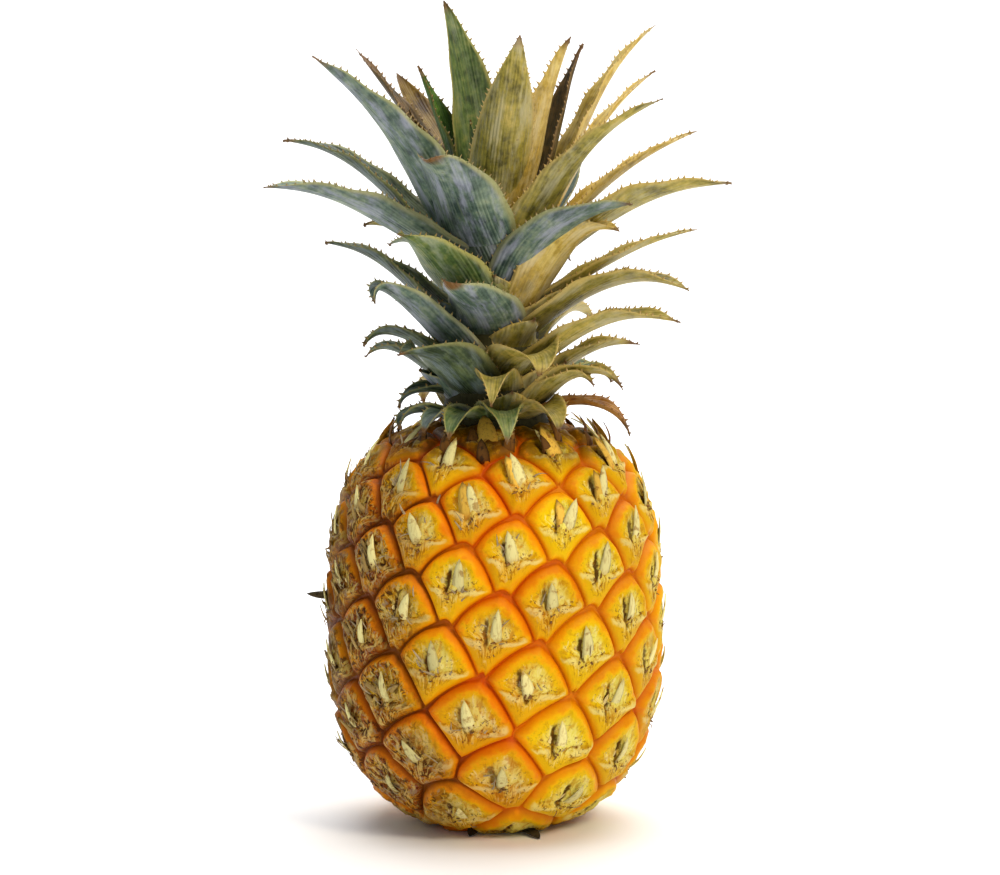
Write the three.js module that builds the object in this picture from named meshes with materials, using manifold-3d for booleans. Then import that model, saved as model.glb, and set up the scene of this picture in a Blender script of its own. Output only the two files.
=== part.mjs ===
// A whole pineapple, standing on its cut stalk: a barrel-shaped fruit covered with
// eyes, the stalk that was cut when it was picked, and the crown of spiny leaves.
// Millimetres, +Z up along the fruit's axis. The origin is the centre of the cut face
// that it stands on. Azimuth 0 points along -Y and +90 degrees along +X.

import * as THREE from 'three'
import { ConvexHull } from 'three/addons/math/ConvexHull.js'
import { mergeVertices } from 'three/addons/utils/BufferGeometryUtils.js'
import Module from 'manifold-3d'

const wasm = await Module()
wasm.setup()

// ---------------------------------------------------------------- driving dimensions

// The fruit's outline is a superellipse, squarer above its widest height than below.
const fruitRadius = 57
const widestHeight = 66.5
const upperReach = 70.7
const lowerReach = 69.5
const upperFullness = 3.1
const lowerFullness = 2.5

// The eyes stand on one spiral from the foot to the crown, a golden angle apart.
const eyeCount = 111
const eyesUnderFoot = 2
const firstEyeAzimuth = 239.4
const divergence = 137.5
const spiralStart = -0.1
const lowEyeGain = 0.3045     // the lowest eyes are the largest by this share
const middleEyeGain = 0.064   // and those in the lower third gain this much more
const spiralDrift = -23.2     // degrees, squared with the way from the calmest eye
const calmestEye = 0.4

// Relief of an eye, below the outline: share of the way out to its corner, and depth.
const grooveDepth = 3.0
const eyeRings = [
  { share: 0.80, depth: 0.5 },
  { share: 0.48, depth: 0.15 },
]
const eyeCentreDepth = 0.7
const shortestCellEdge = 2.2

// The dried bract of each eye ends in a spike that leans up the fruit.
const spike = { length: 8, width: 3.6, root: 1.6, rootRise: 1.5, stand: 2.8, shoulderStand: 4.2 }
const shoulderHeight = 104
const spikeHeights = [9, 128]

// The lowest bracts are longer, like small leaves, and lie on what the fruit stands on.
const footBracts = [
  { azimuth: 26, reach: 36, width: 8 },
  { azimuth: -17, reach: 30.5, width: 7 },
  { azimuth: 118, reach: 33, width: 7 },
  { azimuth: 171, reach: 35, width: 8 },
  { azimuth: -112, reach: 34, width: 7 },
]
const lowBract = { root: 17, rootHeight: 4, bend: 0.55, thickness: 1.1, ridge: 1.2, point: 2 }

const stalk = { radius: 11.7, height: 12, chamfer: 0.8, sides: 24 }
const fitGap = 0.3
const cutter = { across: 200, deep: 40, past: 10 }

// The crown's stem sits in a shallow seat and thins upwards.
const stemProfile = [
  [131.6, 19.0], [150, 17.0], [175, 14.0], [200, 9.0], [215, 3.0],
]
const stemSides = 18
const seatRadius = stemProfile[0][1] + fitGap
const seatFloor = stemProfile[0][0] - fitGap

// Crown leaves, from the heart down. Each rises from the stem at `root` height with the
// slope `rise`, and reaches `reach` from the axis at height `tip` with the slope `fall`
// (degrees above level). `width` is across the foot, `belly` widens the middle and
// `sweep` carries the tip sideways, towards a growing azimuth.
const leafColumns = ['azimuth', 'root', 'reach', 'tip', 'width', 'rise', 'fall', 'belly', 'sweep']
const frontLeaves = [
  [-151, 202, 20.5, 278, 19.5, 64, 72, 2.5, 8.5],
  [6, 199, 22, 266, 17.5, 74, 125, 3.0, 6],
  [59, 201, 29, 265.5, 18.5, 56, 61, 2.1, 0.5],
  [110, 200, 32.5, 263.5, 14, 41, 62, 1.8, 2],
  [109, 196, 58.5, 270, 16, 41, 36, 1.5, 1.5],
  [122, 187, 66, 254.5, 14.5, 48, 29, 0.9, 1],
  [44, 185, 70.5, 245, 29, 57, 18, 0.2, 7],
  [96, 188, 68.5, 234, 18, 40, 20, 1.0, 0],
  [79, 181, 80, 217, 27.5, 39, 0, 1.8, -0.5],
  [35, 173, 56, 211, 25, 68, 7, 1.8, 15.5],
  [62, 172, 48, 201.5, 25.5, 48, -20, 1.9, -3],
  [94, 175, 68.5, 201, 18, 22, 9, 0.6, 0],
  [77, 165, 66.5, 181.5, 25.5, 39, -26, 1.5, -1.5],
  [61, 153, 68.5, 172, 25, 38, -16, 1.0, 2],
  [81, 147, 49.5, 163, 21, 36, -12, 1.0, -0.5],
  [57, 142, 50, 149.5, 20, 42, -58, 0.8, 0.5],
  [53, 141, 42, 150.5, 18, 32, -57, 0.8, -1.5],
  [69, 139, 49, 133.5, 15.5, 32, -72, 0.6, -2.5],
  [-42, 182, 77.5, 258.5, 31.5, 55, 31, 1.1, -8.5],
  [-27, 189, 56.5, 225.5, 24.5, 25, 3, 3.5, 3.5],
  [-106, 189, 76, 230.5, 22.5, 27, 1, 1.2, -1.5],
  [-72, 188, 80.5, 216, 28.5, 19, -2, 1.9, 2.5],
  [-106, 174, 47, 202, 20.5, 40, -14, 1.1, -1.5],
  [-37, 175, 55, 201.5, 30, 22, 10, 1.4, 2],
  [-104, 168, 60, 196, 21, 27, 2, 1.3, -0.5],
  [-54, 157, 49, 178, 24, 38, -102, 1.2, 1],
  [-11, 164, 49, 187, 27, 52, 31, 1.8, -7.5],
  [-77, 153, 45, 162.5, 18, 39, -62, 1.0, 0],
  [-93, 145, 44, 158, 17.5, 43, -50, 0.8, 0],
  [-36, 146, 46, 161.5, 28.5, 26, -14, 2.2, -5.5],
  [27, 151, 41.5, 155, 27, 52, -83, 1.6, -5.5],
  [-76, 144, 33, 141.5, 15, 48, -95, 0.4, 0.5],
  [-63, 137, 36.5, 135.5, 16, 39, -102, 0.6, 3],
  [1, 146, 44, 145.5, 20, 50, -80, 0.6, -2],
  [36, 138, 39, 136.5, 23, 30, -71, 1.0, -2.5],
  [5, 138, 46, 133.5, 20, 26, -66, 0.8, 0],
  [-22, 138, 40, 134, 18, 26, -76, 0.8, 0],
  [-42, 138, 35, 135, 18, 26, -76, 0.8, 0],
  [-119, 194, 54.5, 262, 16.5, 62, 47, 1.1, 0],
  [-136, 197, 49, 254, 24, 74, 58, 2.4, 0],
  [-105, 198, 27, 256, 19.5, 67, 66, 1.6, 0],
  [175, 206, 12, 250, 15, 88, 78, 1.6, 0],
  [-65, 208, 9, 238, 12, 90, 92, 1.6, 0],
  [50, 208, 8, 242, 12, 90, 94, 1.6, 0],
  [170, 200, 22, 256, 17, 78, 88, 2.2, 0],
]
// The far side repeats the leaves below the heart whose tips, seen from the front, are
// near the axis. They are turned half round and varied.
const repeatedBelow = 195
const repeatedWithin = 30
const repeatStretch = 1.14
const variation = { azimuth: 9, reach: 0.08, tip: 3, sweep: 4 }
// Shorter leaves fill the far side between them, the longest straight behind.
const farLeaves = {
  count: 10, from: 124, step: 12.5, stride: 3, lowest: 141, highest: 186,
  reach: 39, furtherBehind: 22, tipAbove: [7, 22], falls: [-60, -20],
  width: 21, rise: 50, belly: 1.0,
}
const variationSeed = 4

const leaf = {
  thickness: [2.0, 1.0],      // along the midrib, at the foot and at the tip
  toothHeight: 1.2,
  toothLength: 1.5,
  toothPitch: 11,
  fewestTeeth: 3,
  mostTeeth: 6,
  firstTooth: 0.3,
  lastTooth: 0.93,
  grip: 4.5,                  // how deep its foot is sunk in the stem
  handle: 0.38,               // of the midrib's curve, as a share of its chord
  clearance: 3,               // between the stem and the foot that clasps it
  flattest: 0.55,             // the least radius of that clasp, as a share of the width
  fold: 56,                   // degrees that each half turns up, and the share of the
  foldedBy: 0.45,             // way to the tip by which it has done so
  slopeStep: 0.02,
}

const finishes = {
  fruit: { color: '#dd8a1e', roughness: 0.5, metalness: 0 },
  stalk: { color: '#9a8350', roughness: 0.85, metalness: 0 },
  crown: { color: '#6f7f4a', roughness: 0.6, metalness: 0 },
}

// ---------------------------------------------------------------- shared functions

const radians = THREE.MathUtils.degToRad
const { lerp, clamp, smoothstep } = THREE.MathUtils

/** A closed BufferGeometry as a manifold solid. */
function solidOf(geometry) {
  const bare = geometry.index ? geometry.clone() : geometry
  bare.deleteAttribute('normal')
  bare.deleteAttribute('uv')
  const merged = mergeVertices(bare, 1e-5)
  return new wasm.Manifold(new wasm.Mesh({
    numProp: 3,
    vertProperties: new Float32Array(merged.attributes.position.array),
    triVerts: new Uint32Array(merged.index.array),
  }))
}

/** A manifold solid as a BufferGeometry. */
function geometryOf(solid) {
  const mesh = solid.getMesh()
  const geometry = new THREE.BufferGeometry()
  geometry.setAttribute('position', new THREE.Float32BufferAttribute(mesh.vertProperties, 3))
  geometry.setIndex(Array.from(mesh.triVerts))
  geometry.computeVertexNormals()
  return geometry
}

/** A solid from a list of points and a list of corner triples. */
function solidFrom(points, triangles) {
  const geometry = new THREE.BufferGeometry().setFromPoints(points)
  geometry.setIndex(triangles.flat())
  return solidOf(geometry)
}

/** The largest body of a solid, without loose scraps and without sealed hollows. */
function oneBody(solid) {
  const bodies = solid.decompose()
  return bodies.reduce((best, body) => (body.volume() > best.volume() ? body : best))
}

/** The unit vector away from the axis at an azimuth in degrees. */
function outward(azimuth) {
  return new THREE.Vector3(Math.sin(radians(azimuth)), -Math.cos(radians(azimuth)), 0)
}

/** The unit vector round the axis, towards a growing azimuth. */
function sideways(azimuth) {
  return new THREE.Vector3(Math.cos(radians(azimuth)), Math.sin(radians(azimuth)), 0)
}

/** Seeded random numbers from 0 to 1. */
function seededRandom(seed) {
  let state = seed
  return () => {
    state = (Math.imul(state, 1664525) + 1013904223) >>> 0
    return state / 2 ** 32
  }
}

/** Linear interpolation of column `to` of a table, where column `from` is `value`. */
function lookUp(rows, from, to, value) {
  let low = 0
  let high = rows.length - 1
  if (value <= rows[low][from]) return rows[low][to]
  if (value >= rows[high][from]) return rows[high][to]
  while (high - low > 1) {
    const middle = (low + high) >> 1
    if (rows[middle][from] <= value) low = middle
    else high = middle
  }
  const share = (value - rows[low][from]) / (rows[high][from] - rows[low][from])
  return lerp(rows[low][to], rows[high][to], share)
}

// ---------------------------------------------------------------- the fruit's outline

/** Height and radius of the outline at a place from -1, the bottom, to 1, the top. */
function outline(place) {
  const fullness = place < 0 ? lowerFullness : upperFullness
  const reach = place < 0 ? lowerReach : upperReach
  const radius = fruitRadius * (1 - Math.abs(place) ** fullness) ** (1 / fullness)
  return { height: widestHeight + reach * place, radius }
}

/**
 * The meridian as a table: height, radius, the skin's area up to there from the foot, and
 * the chart height, which grows by arc length over radius. The chart carries the skin to
 * a unit sphere and keeps every angle, so that true neighbours stay neighbours.
 */
function meridianTable(steps = 1200) {
  const rows = []
  let area = 0
  let chart = 0
  for (let i = 0; i <= steps; i++) {
    const angle = lerp(-0.4999, 0.4999, i / steps) * Math.PI
    const { height, radius } = outline(Math.sin(angle))
    if (i > 0) {
      const last = rows[i - 1]
      const arc = Math.hypot(height - last.height, radius - last.radius)
      const middle = (radius + last.radius) / 2
      area += 2 * Math.PI * middle * arc
      chart += arc / middle
    }
    rows.push({ height, radius, area, chart })
  }
  const footArea = lookUp(rows, 'height', 'area', 0)
  const middleChart = lookUp(rows, 'height', 'chart', widestHeight)
  for (const row of rows) {
    row.area -= footArea
    row.chart -= middleChart
  }
  return rows
}

const meridian = meridianTable()
const skinArea = meridian.at(-1).area

/** The direction on the chart's sphere of an azimuth and a chart height. */
function chartDirection(azimuth, chart) {
  const direction = outward(azimuth).multiplyScalar(1 / Math.cosh(chart))
  direction.z = Math.tanh(chart)
  return direction
}

/** The point of the skin for a direction on the chart's sphere, sunk by a depth. */
function skinPoint(direction, depth) {
  const unit = direction.clone().normalize()
  const chart = Math.atanh(clamp(unit.z, -0.999999, 0.999999))
  const radius = lookUp(meridian, 'chart', 'radius', chart)
  const height = lookUp(meridian, 'chart', 'height', chart)
  const step = 0.02
  const rise = lookUp(meridian, 'chart', 'height', chart + step)
    - lookUp(meridian, 'chart', 'height', chart - step)
  const widen = lookUp(meridian, 'chart', 'radius', chart + step)
    - lookUp(meridian, 'chart', 'radius', chart - step)
  const away = new THREE.Vector3(unit.x, unit.y, 0).normalize()
  const normal = away.clone().multiplyScalar(rise).setZ(-widen).normalize()
  const point = away.multiplyScalar(radius).setZ(height)
  return { point: point.addScaledVector(normal, -depth), normal }
}

// ---------------------------------------------------------------- the fruit

/** The direction of each eye's centre on the chart's sphere, from the foot upwards. */
function eyeDirections() {
  const directions = []
  for (let n = -eyesUnderFoot; n < eyeCount; n++) {
    const along = (n + spiralStart) / eyeCount
    const left = 1 - along
    const share = along + lowEyeGain * along * left
      + middleEyeGain * along * left * (1 - 2 * along)
    const chart = lookUp(meridian, 'area', 'chart', Math.min(share, 1) * skinArea)
    const drift = spiralDrift * (n / eyeCount - calmestEye) ** 2
    directions.push(chartDirection(firstEyeAzimuth + divergence * n + drift, chart))
  }
  return directions
}

/**
 * The cell round each eye: the corners where three or more eyes meet, in order. The
 * faces of the directions' convex hull are those corners, and each face's normal is the
 * direction that is equally far from its eyes. Corners that nearly meet are made one.
 */
function eyeCells(directions) {
  const hull = new ConvexHull().setFromPoints(directions)
  const corners = hull.faces.map((face) => face.normal.clone().normalize())
  const places = corners.map((corner) => skinPoint(corner, 0).point)
  const merged = places.map((here) => places.findIndex(
    (other) => other.distanceTo(here) < shortestCellEdge))
  const faceNumber = new Map(hull.faces.map((face, i) => [face, i]))
  const rings = directions.map((direction) => {
    let start
    for (const face of hull.faces) {
      for (let edge = face.edge, k = 0; k < 3; edge = edge.next, k++) {
        if (edge.head().point === direction) start = edge
      }
    }
    const ring = []
    let edge = start
    do {
      ring.push(merged[faceNumber.get(edge.face)])
      edge = edge.twin.prev
    } while (edge !== start)
    return ring.filter((corner, k) => corner !== ring[(k + 1) % ring.length])
  })
  return { corners, rings }
}

/** The skin with its eyes: each cell is a pillow of rings between its sunken corners. */
function eyedSkin(directions) {
  const { corners, rings } = eyeCells(directions)
  const points = corners.map((corner) => skinPoint(corner, grooveDepth).point)
  const triangles = []
  rings.forEach((ring, n) => {
    const eye = directions[n]
    let outer = ring
    for (const { share, depth } of eyeRings) {
      const inner = ring.map((corner) => {
        const direction = eye.clone().lerp(corners[corner], share)
        return points.push(skinPoint(direction, depth).point) - 1
      })
      for (let k = 0; k < ring.length; k++) {
        const next = (k + 1) % ring.length
        triangles.push([outer[k], outer[next], inner[next]], [outer[k], inner[next], inner[k]])
      }
      outer = inner
    }
    const centre = points.push(skinPoint(eye, eyeCentreDepth).point) - 1
    for (let k = 0; k < ring.length; k++) {
      triangles.push([outer[k], outer[(k + 1) % ring.length], centre])
    }
  })
  return solidFrom(points, triangles)
}

/** The spike of one eye's bract, a three-sided point that leans up the fruit. */
function bractSpike(direction) {
  const { point, normal } = skinPoint(direction, eyeCentreDepth)
  const across = new THREE.Vector3(-direction.y, direction.x, 0).normalize()
  const up = new THREE.Vector3().crossVectors(normal, across)
  const stand = point.z > shoulderHeight ? spike.shoulderStand : spike.stand
  const place = (sideStep, upStep, out) => point.clone().addScaledVector(across, sideStep)
    .addScaledVector(up, upStep).addScaledVector(normal, out)
  return solidFrom([
    place(-spike.width / 2, -spike.rootRise, -spike.root),
    place(spike.width / 2, -spike.rootRise, -spike.root),
    place(0, spike.rootRise, -spike.root),
    place(0, spike.length - spike.rootRise, stand),
  ], [[0, 2, 1], [0, 1, 3], [1, 2, 3], [2, 0, 3]])
}

/** One of the long lowest bracts: a pointed blade on the ground, from under the eyes. */
function footBract({ azimuth, reach, width }) {
  const away = outward(azimuth)
  const across = sideways(azimuth)
  const { root, rootHeight, bend, thickness, ridge, point } = lowBract
  const middle = lerp(root, reach, bend)
  const place = (radius, sideStep, height) => away.clone().multiplyScalar(radius)
    .addScaledVector(across, sideStep).setZ(height)
  const half = width / 2
  const points = [
    place(root, -half, 0), place(root, half, 0),
    place(root, half, rootHeight), place(root, -half, rootHeight),
    place(middle, -half, 0), place(middle, half, 0), place(middle, 0, thickness + ridge),
    place(reach, 0, 0), place(reach - point, 0, thickness),
  ]
  return solidFrom(points, [
    [0, 2, 1], [0, 3, 2], [0, 1, 5], [0, 5, 4], [1, 2, 5], [4, 3, 0], [3, 4, 6], [2, 6, 5],
    [3, 6, 2], [4, 5, 7], [4, 8, 6], [4, 7, 8], [5, 6, 8], [5, 8, 7],
  ])
}

/** The fruit: its eyed skin and bracts, cut flat below, with a seat and a stalk hole. */
function fruitGeometry() {
  const directions = eyeDirections()
  const spikes = directions.filter((direction) => {
    const { z } = skinPoint(direction, 0).point
    return z > spikeHeights[0] && z < spikeHeights[1]
  }).map(bractSpike)
  const bracts = footBracts.map(footBract)
  const { across, deep, past } = cutter
  const below = new THREE.BoxGeometry(across, across, deep).translate(0, 0, -deep / 2)
  const holeRadius = stalk.radius + fitGap
  const holeDepth = stalk.height + fitGap
  const hole = new THREE.CylinderGeometry(
    holeRadius, holeRadius, holeDepth + past, stalk.sides)
  hole.rotateX(Math.PI / 2).translate(0, 0, (holeDepth - past) / 2)
  const seat = new THREE.CylinderGeometry(seatRadius, seatRadius, deep, stemSides)
  seat.rotateX(Math.PI / 2).translate(0, 0, seatFloor + deep / 2)
  let fruit = eyedSkin(directions)
  fruit = wasm.Manifold.union([fruit, ...spikes, ...bracts])
  for (const cut of [below, hole, seat]) fruit = fruit.subtract(solidOf(cut))
  return geometryOf(oneBody(fruit))
}

// ---------------------------------------------------------------- the cut stalk

/** The woody stalk, turned on the axis, with the knife's face below. */
function stalkGeometry() {
  const { radius, height, chamfer, sides } = stalk
  const profile = [
    [0, 0], [radius - chamfer, 0], [radius, chamfer],
    [radius, height - chamfer], [radius - chamfer, height], [0, height],
  ].map(([r, z]) => new THREE.Vector2(r, z))
  const geometry = new THREE.LatheGeometry(profile, sides)
  return geometryOf(solidOf(geometry.rotateX(Math.PI / 2)))
}

// ---------------------------------------------------------------- the crown

/** The stem's radius at a height. */
function stemRadius(height) {
  return lookUp(stemProfile, 0, 1, height)
}

/** The turned core that carries the leaves. */
function stemSolid() {
  const profile = [[0, stemProfile[0][0]], ...stemProfile.map(([z, r]) => [r, z]),
    [0, stemProfile.at(-1)[0]]].map(([r, z]) => new THREE.Vector2(r, z))
  return solidOf(new THREE.LatheGeometry(profile, stemSides).rotateX(Math.PI / 2))
}

/** A leaf's midrib: a curve in the upright plane through the axis, swept sideways. */
function midrib({ azimuth, root, reach, tip, rise, fall, sweep }) {
  const foot = new THREE.Vector2(stemRadius(root) - leaf.grip, root)
  const end = new THREE.Vector2(reach, tip)
  const handle = leaf.handle * foot.distanceTo(end)
  const slope = (angle) => new THREE.Vector2(Math.cos(radians(angle)), Math.sin(radians(angle)))
  const curve = new THREE.CubicBezierCurve(
    foot, foot.clone().addScaledVector(slope(rise), handle),
    end.clone().addScaledVector(slope(fall), -handle), end)
  const away = outward(azimuth)
  const across = sideways(azimuth)
  return (share) => {
    const { x, y } = curve.getPoint(share)
    return away.clone().multiplyScalar(x).addScaledVector(across, sweep * share ** 2).setZ(y)
  }
}

/** Where a leaf's sections stand: a pair for each tooth, its point and the notch after. */
function leafStations(length) {
  const teeth = clamp(Math.round(length / leaf.toothPitch), leaf.fewestTeeth, leaf.mostTeeth)
  const stations = [{ share: 0, tooth: 0 }]
  for (let k = 0; k < teeth; k++) {
    const share = lerp(leaf.firstTooth, leaf.lastTooth, k / (teeth - 1))
    const point = share - leaf.toothLength / length
    stations.push({ share: point, tooth: leaf.toothHeight }, { share, tooth: 0 })
  }
  return stations
}

/** The length of a leaf's midrib, added up over short steps. */
function ribLength(rib, steps = 20) {
  let length = 0
  for (let k = 0; k < steps; k++) length += rib(k / steps).distanceTo(rib((k + 1) / steps))
  return length
}

/**
 * One leaf. Each section is a channel, open upwards and towards the axis, of four corners:
 * two margins, which carry the teeth, and the midrib's upper and lower side. The foot
 * clasps the stem and the halves fold up from there. The last point closes it.
 */
function leafSolid(settings) {
  const { azimuth, root, width, belly } = settings
  const rib = midrib(settings)
  const across = sideways(azimuth)
  const clasp = width / 2 / Math.max(stemRadius(root) + leaf.clearance, leaf.flattest * width)
  const points = []
  const triangles = []
  for (const { share, tooth } of leafStations(ribLength(rib))) {
    const centre = rib(share)
    const before = rib(Math.max(share - leaf.slopeStep, 0))
    const along = rib(Math.min(share + leaf.slopeStep, 1)).sub(before).normalize()
    const side = across.clone().addScaledVector(along, -across.dot(along)).normalize()
    const inner = new THREE.Vector3().crossVectors(along, side)
    const blade = width * (1 - share) * (1 + belly * share)
    const turn = lerp(clasp, radians(leaf.fold), smoothstep(share, 0, leaf.foldedBy))
    const channel = blade / 2 / turn
    const half = channel * Math.sin(turn) + tooth * Math.cos(turn)
    const lift = channel * (1 - Math.cos(turn)) + tooth * Math.sin(turn)
    const thick = lerp(...leaf.thickness, share)
    points.push(
      centre.clone().addScaledVector(side, half).addScaledVector(inner, lift),
      centre.clone().addScaledVector(inner, thick / 2),
      centre.clone().addScaledVector(side, -half).addScaledVector(inner, lift),
      centre.clone().addScaledVector(inner, -thick / 2),
    )
  }
  const sections = points.length / 4
  for (let k = 0; k + 1 < sections; k++) {
    for (let corner = 0; corner < 4; corner++) {
      const next = (corner + 1) % 4
      const [a, b] = [4 * k + corner, 4 * k + next]
      triangles.push([a, b + 4, a + 4], [a, b, b + 4])
    }
  }
  const last = 4 * (sections - 1)
  const tip = points.push(rib(1)) - 1
  for (let corner = 0; corner < 4; corner++) {
    triangles.push([last + (corner + 1) % 4, tip, last + corner])
  }
  triangles.push([0, 3, 1], [1, 3, 2])
  return solidFrom(points, triangles)
}

/** How far a leaf's tip is from the axis, seen from the front. */
function tipAside({ azimuth, reach, sweep }) {
  return reach * Math.sin(radians(azimuth)) + sweep * Math.cos(radians(azimuth))
}

/** The settings of every leaf: those listed, their far repeats, and the far fillers. */
function allLeaves() {
  const random = seededRandom(variationSeed)
  const vary = (amount) => (2 * random() - 1) * amount
  const named = (row) => Object.fromEntries(leafColumns.map((name, k) => [name, row[k]]))
  const front = frontLeaves.map(named)
  const repeats = front.filter((settings) => (
    settings.root < repeatedBelow && Math.abs(tipAside(settings)) < repeatedWithin))
    .map((settings) => ({
      ...settings,
      azimuth: settings.azimuth + 180 + vary(variation.azimuth),
      reach: settings.reach * (repeatStretch + vary(variation.reach)),
      tip: settings.tip + vary(variation.tip),
    }))
  const {
    count, from, step, stride, lowest, highest, reach, furtherBehind, tipAbove, falls, ...shape
  } = farLeaves
  const fillers = Array.from({ length: count }, (_, k) => {
    const azimuth = from + step * k + vary(variation.azimuth / 2)
    const level = ((k * stride) % count) / (count - 1)
    const root = lerp(lowest, highest, level)
    return {
      ...shape, azimuth, root,
      reach: reach + furtherBehind * Math.cos(radians(azimuth)) ** 2,
      tip: root + lerp(...tipAbove, level),
      fall: lerp(...falls, level),
      sweep: vary(variation.sweep),
    }
  })
  return [...front, ...repeats, ...fillers]
}

/** The crown: its stem with every leaf grown into it. */
function crownGeometry() {
  const leaves = allLeaves().map(leafSolid)
  return geometryOf(oneBody(wasm.Manifold.union([stemSolid(), ...leaves])))
}

// ---------------------------------------------------------------- assembly

const pineapple = new THREE.Group()
pineapple.name = 'pineapple'

function addPiece(name, geometry, finish) {
  const mesh = new THREE.Mesh(geometry, new THREE.MeshStandardMaterial(finish))
  mesh.name = name
  pineapple.add(mesh)
}

addPiece('fruit', fruitGeometry(), finishes.fruit)
addPiece('cut_stalk', stalkGeometry(), finishes.stalk)
addPiece('crown', crownGeometry(), finishes.crown)

export default pineapple
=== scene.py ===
import math

import bmesh
import bpy
import numpy as np
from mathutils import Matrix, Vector


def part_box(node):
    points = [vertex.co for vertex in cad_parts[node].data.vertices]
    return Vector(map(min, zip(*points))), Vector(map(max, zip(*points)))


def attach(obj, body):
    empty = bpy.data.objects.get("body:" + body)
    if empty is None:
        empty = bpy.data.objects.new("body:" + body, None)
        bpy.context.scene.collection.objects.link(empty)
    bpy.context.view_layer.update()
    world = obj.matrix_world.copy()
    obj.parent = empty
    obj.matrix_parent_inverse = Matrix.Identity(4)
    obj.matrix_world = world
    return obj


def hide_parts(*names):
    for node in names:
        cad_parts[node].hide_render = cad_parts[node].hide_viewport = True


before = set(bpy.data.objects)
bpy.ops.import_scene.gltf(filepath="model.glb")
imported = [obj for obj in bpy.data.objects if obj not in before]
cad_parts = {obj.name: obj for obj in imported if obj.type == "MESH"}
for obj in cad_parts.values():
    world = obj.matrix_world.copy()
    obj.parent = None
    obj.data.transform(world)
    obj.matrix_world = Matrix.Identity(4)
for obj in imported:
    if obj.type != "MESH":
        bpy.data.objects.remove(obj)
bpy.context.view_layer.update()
MM = 0.001

# ------------------------------------------------------------------ the fruit's skin
# The fruit is 113 little fruits grown together, each of which shows as one eye: a waxy
# boss of three sepals above, and the fleshy foot of its bract below. Between the eyes
# the skin sinks into a smooth orange groove.

FRUIT_RADIUS = 57.0
WIDEST_HEIGHT = 66.5
UPPER_REACH, UPPER_FULLNESS = 70.7, 3.1
LOWER_REACH, LOWER_FULLNESS = 69.5, 2.5
EYE_COUNT, EYES_UNDER_FOOT = 111, 2
FIRST_EYE_AZIMUTH, DIVERGENCE, SPIRAL_START = 239.4, 137.5, -0.1
LOW_EYE_GAIN, MIDDLE_EYE_GAIN = 0.3045, 0.064
SPIRAL_DRIFT, CALMEST_EYE = -23.2, 0.4
STALK_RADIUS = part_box("cut_stalk")[1].x / MM
UP = np.array([0.0, 0.0, 1.0])


def outward(azimuth):
    """Unit vectors away from the axis: azimuth 0 is -Y and 90 degrees is +X."""
    a = np.radians(azimuth)
    return np.stack([np.sin(a), -np.cos(a), np.zeros_like(a)], -1)


def sideways(azimuth):
    """Unit vectors round the axis, towards a growing azimuth."""
    a = np.radians(azimuth)
    return np.stack([np.cos(a), np.sin(a), np.zeros_like(a)], -1)


def unit(vectors):
    """Each vector divided by its length."""
    return vectors / np.linalg.norm(vectors, axis=-1, keepdims=True)


def meridian():
    """The fruit's outline, radius = R (1 - |t|^n)^(1/n) for t from the bottom to the top.

    Gives height and radius in mm, the skin's area above the foot, and the chart height,
    which grows by arc length over radius and so keeps every angle on a unit sphere.
    """
    t = np.sin(np.linspace(-0.4999, 0.4999, 1201) * math.pi)
    fullness = np.where(t < 0, LOWER_FULLNESS, UPPER_FULLNESS)
    radius = FRUIT_RADIUS * (1 - np.abs(t) ** fullness) ** (1 / fullness)
    height = WIDEST_HEIGHT + np.where(t < 0, LOWER_REACH, UPPER_REACH) * t
    arc = np.hypot(np.diff(height), np.diff(radius))
    middle = (radius[1:] + radius[:-1]) / 2
    area = np.concatenate([[0], np.cumsum(2 * math.pi * middle * arc)])
    chart = np.concatenate([[0], np.cumsum(arc / middle)])
    area -= np.interp(0, height, area)
    chart -= np.interp(WIDEST_HEIGHT, height, chart)
    return height, radius, area, chart


HEIGHTS, RADII, AREAS, CHARTS = meridian()
CHART_STEP, POLE = 0.02, 0.999999


def skin(directions):
    """Points of the outline in mm for directions on the chart's sphere.

    Also gives the outward normal and how many mm one unit of the sphere is there.
    """
    d = unit(directions)
    chart = np.arctanh(np.clip(d[..., 2], -POLE, POLE))
    chart = np.clip(chart, CHARTS[0] + CHART_STEP, CHARTS[-1] - CHART_STEP)
    below, above = chart - CHART_STEP, chart + CHART_STEP
    rise = np.interp(above, CHARTS, HEIGHTS) - np.interp(below, CHARTS, HEIGHTS)
    widen = np.interp(above, CHARTS, RADII) - np.interp(below, CHARTS, RADII)
    away = unit((1 - UP) * d + 1e-9 * (1 - UP))
    radius = np.interp(chart, CHARTS, RADII)
    normal = unit(away * rise[..., None] - UP * widen[..., None])
    point = away * radius[..., None]
    point[..., 2] = np.interp(chart, CHARTS, HEIGHTS)
    return point, normal, radius * np.cosh(chart)


def eye_directions():
    """Eye n stands n golden angles round, where its share of the skin's area has passed."""
    n = np.arange(-EYES_UNDER_FOOT, EYE_COUNT)
    along = (n + SPIRAL_START) / EYE_COUNT
    left = 1 - along
    share = along + LOW_EYE_GAIN * along * left
    share += MIDDLE_EYE_GAIN * along * left * (1 - 2 * along)
    chart = np.interp(np.minimum(share, 1) * AREAS[-1], AREAS, CHARTS)
    drift = SPIRAL_DRIFT * (n / EYE_COUNT - CALMEST_EYE) ** 2
    d = outward(FIRST_EYE_AZIMUTH + DIVERGENCE * n + drift) / np.cosh(chart)[:, None]
    d[:, 2] = np.tanh(chart)
    return d


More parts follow.
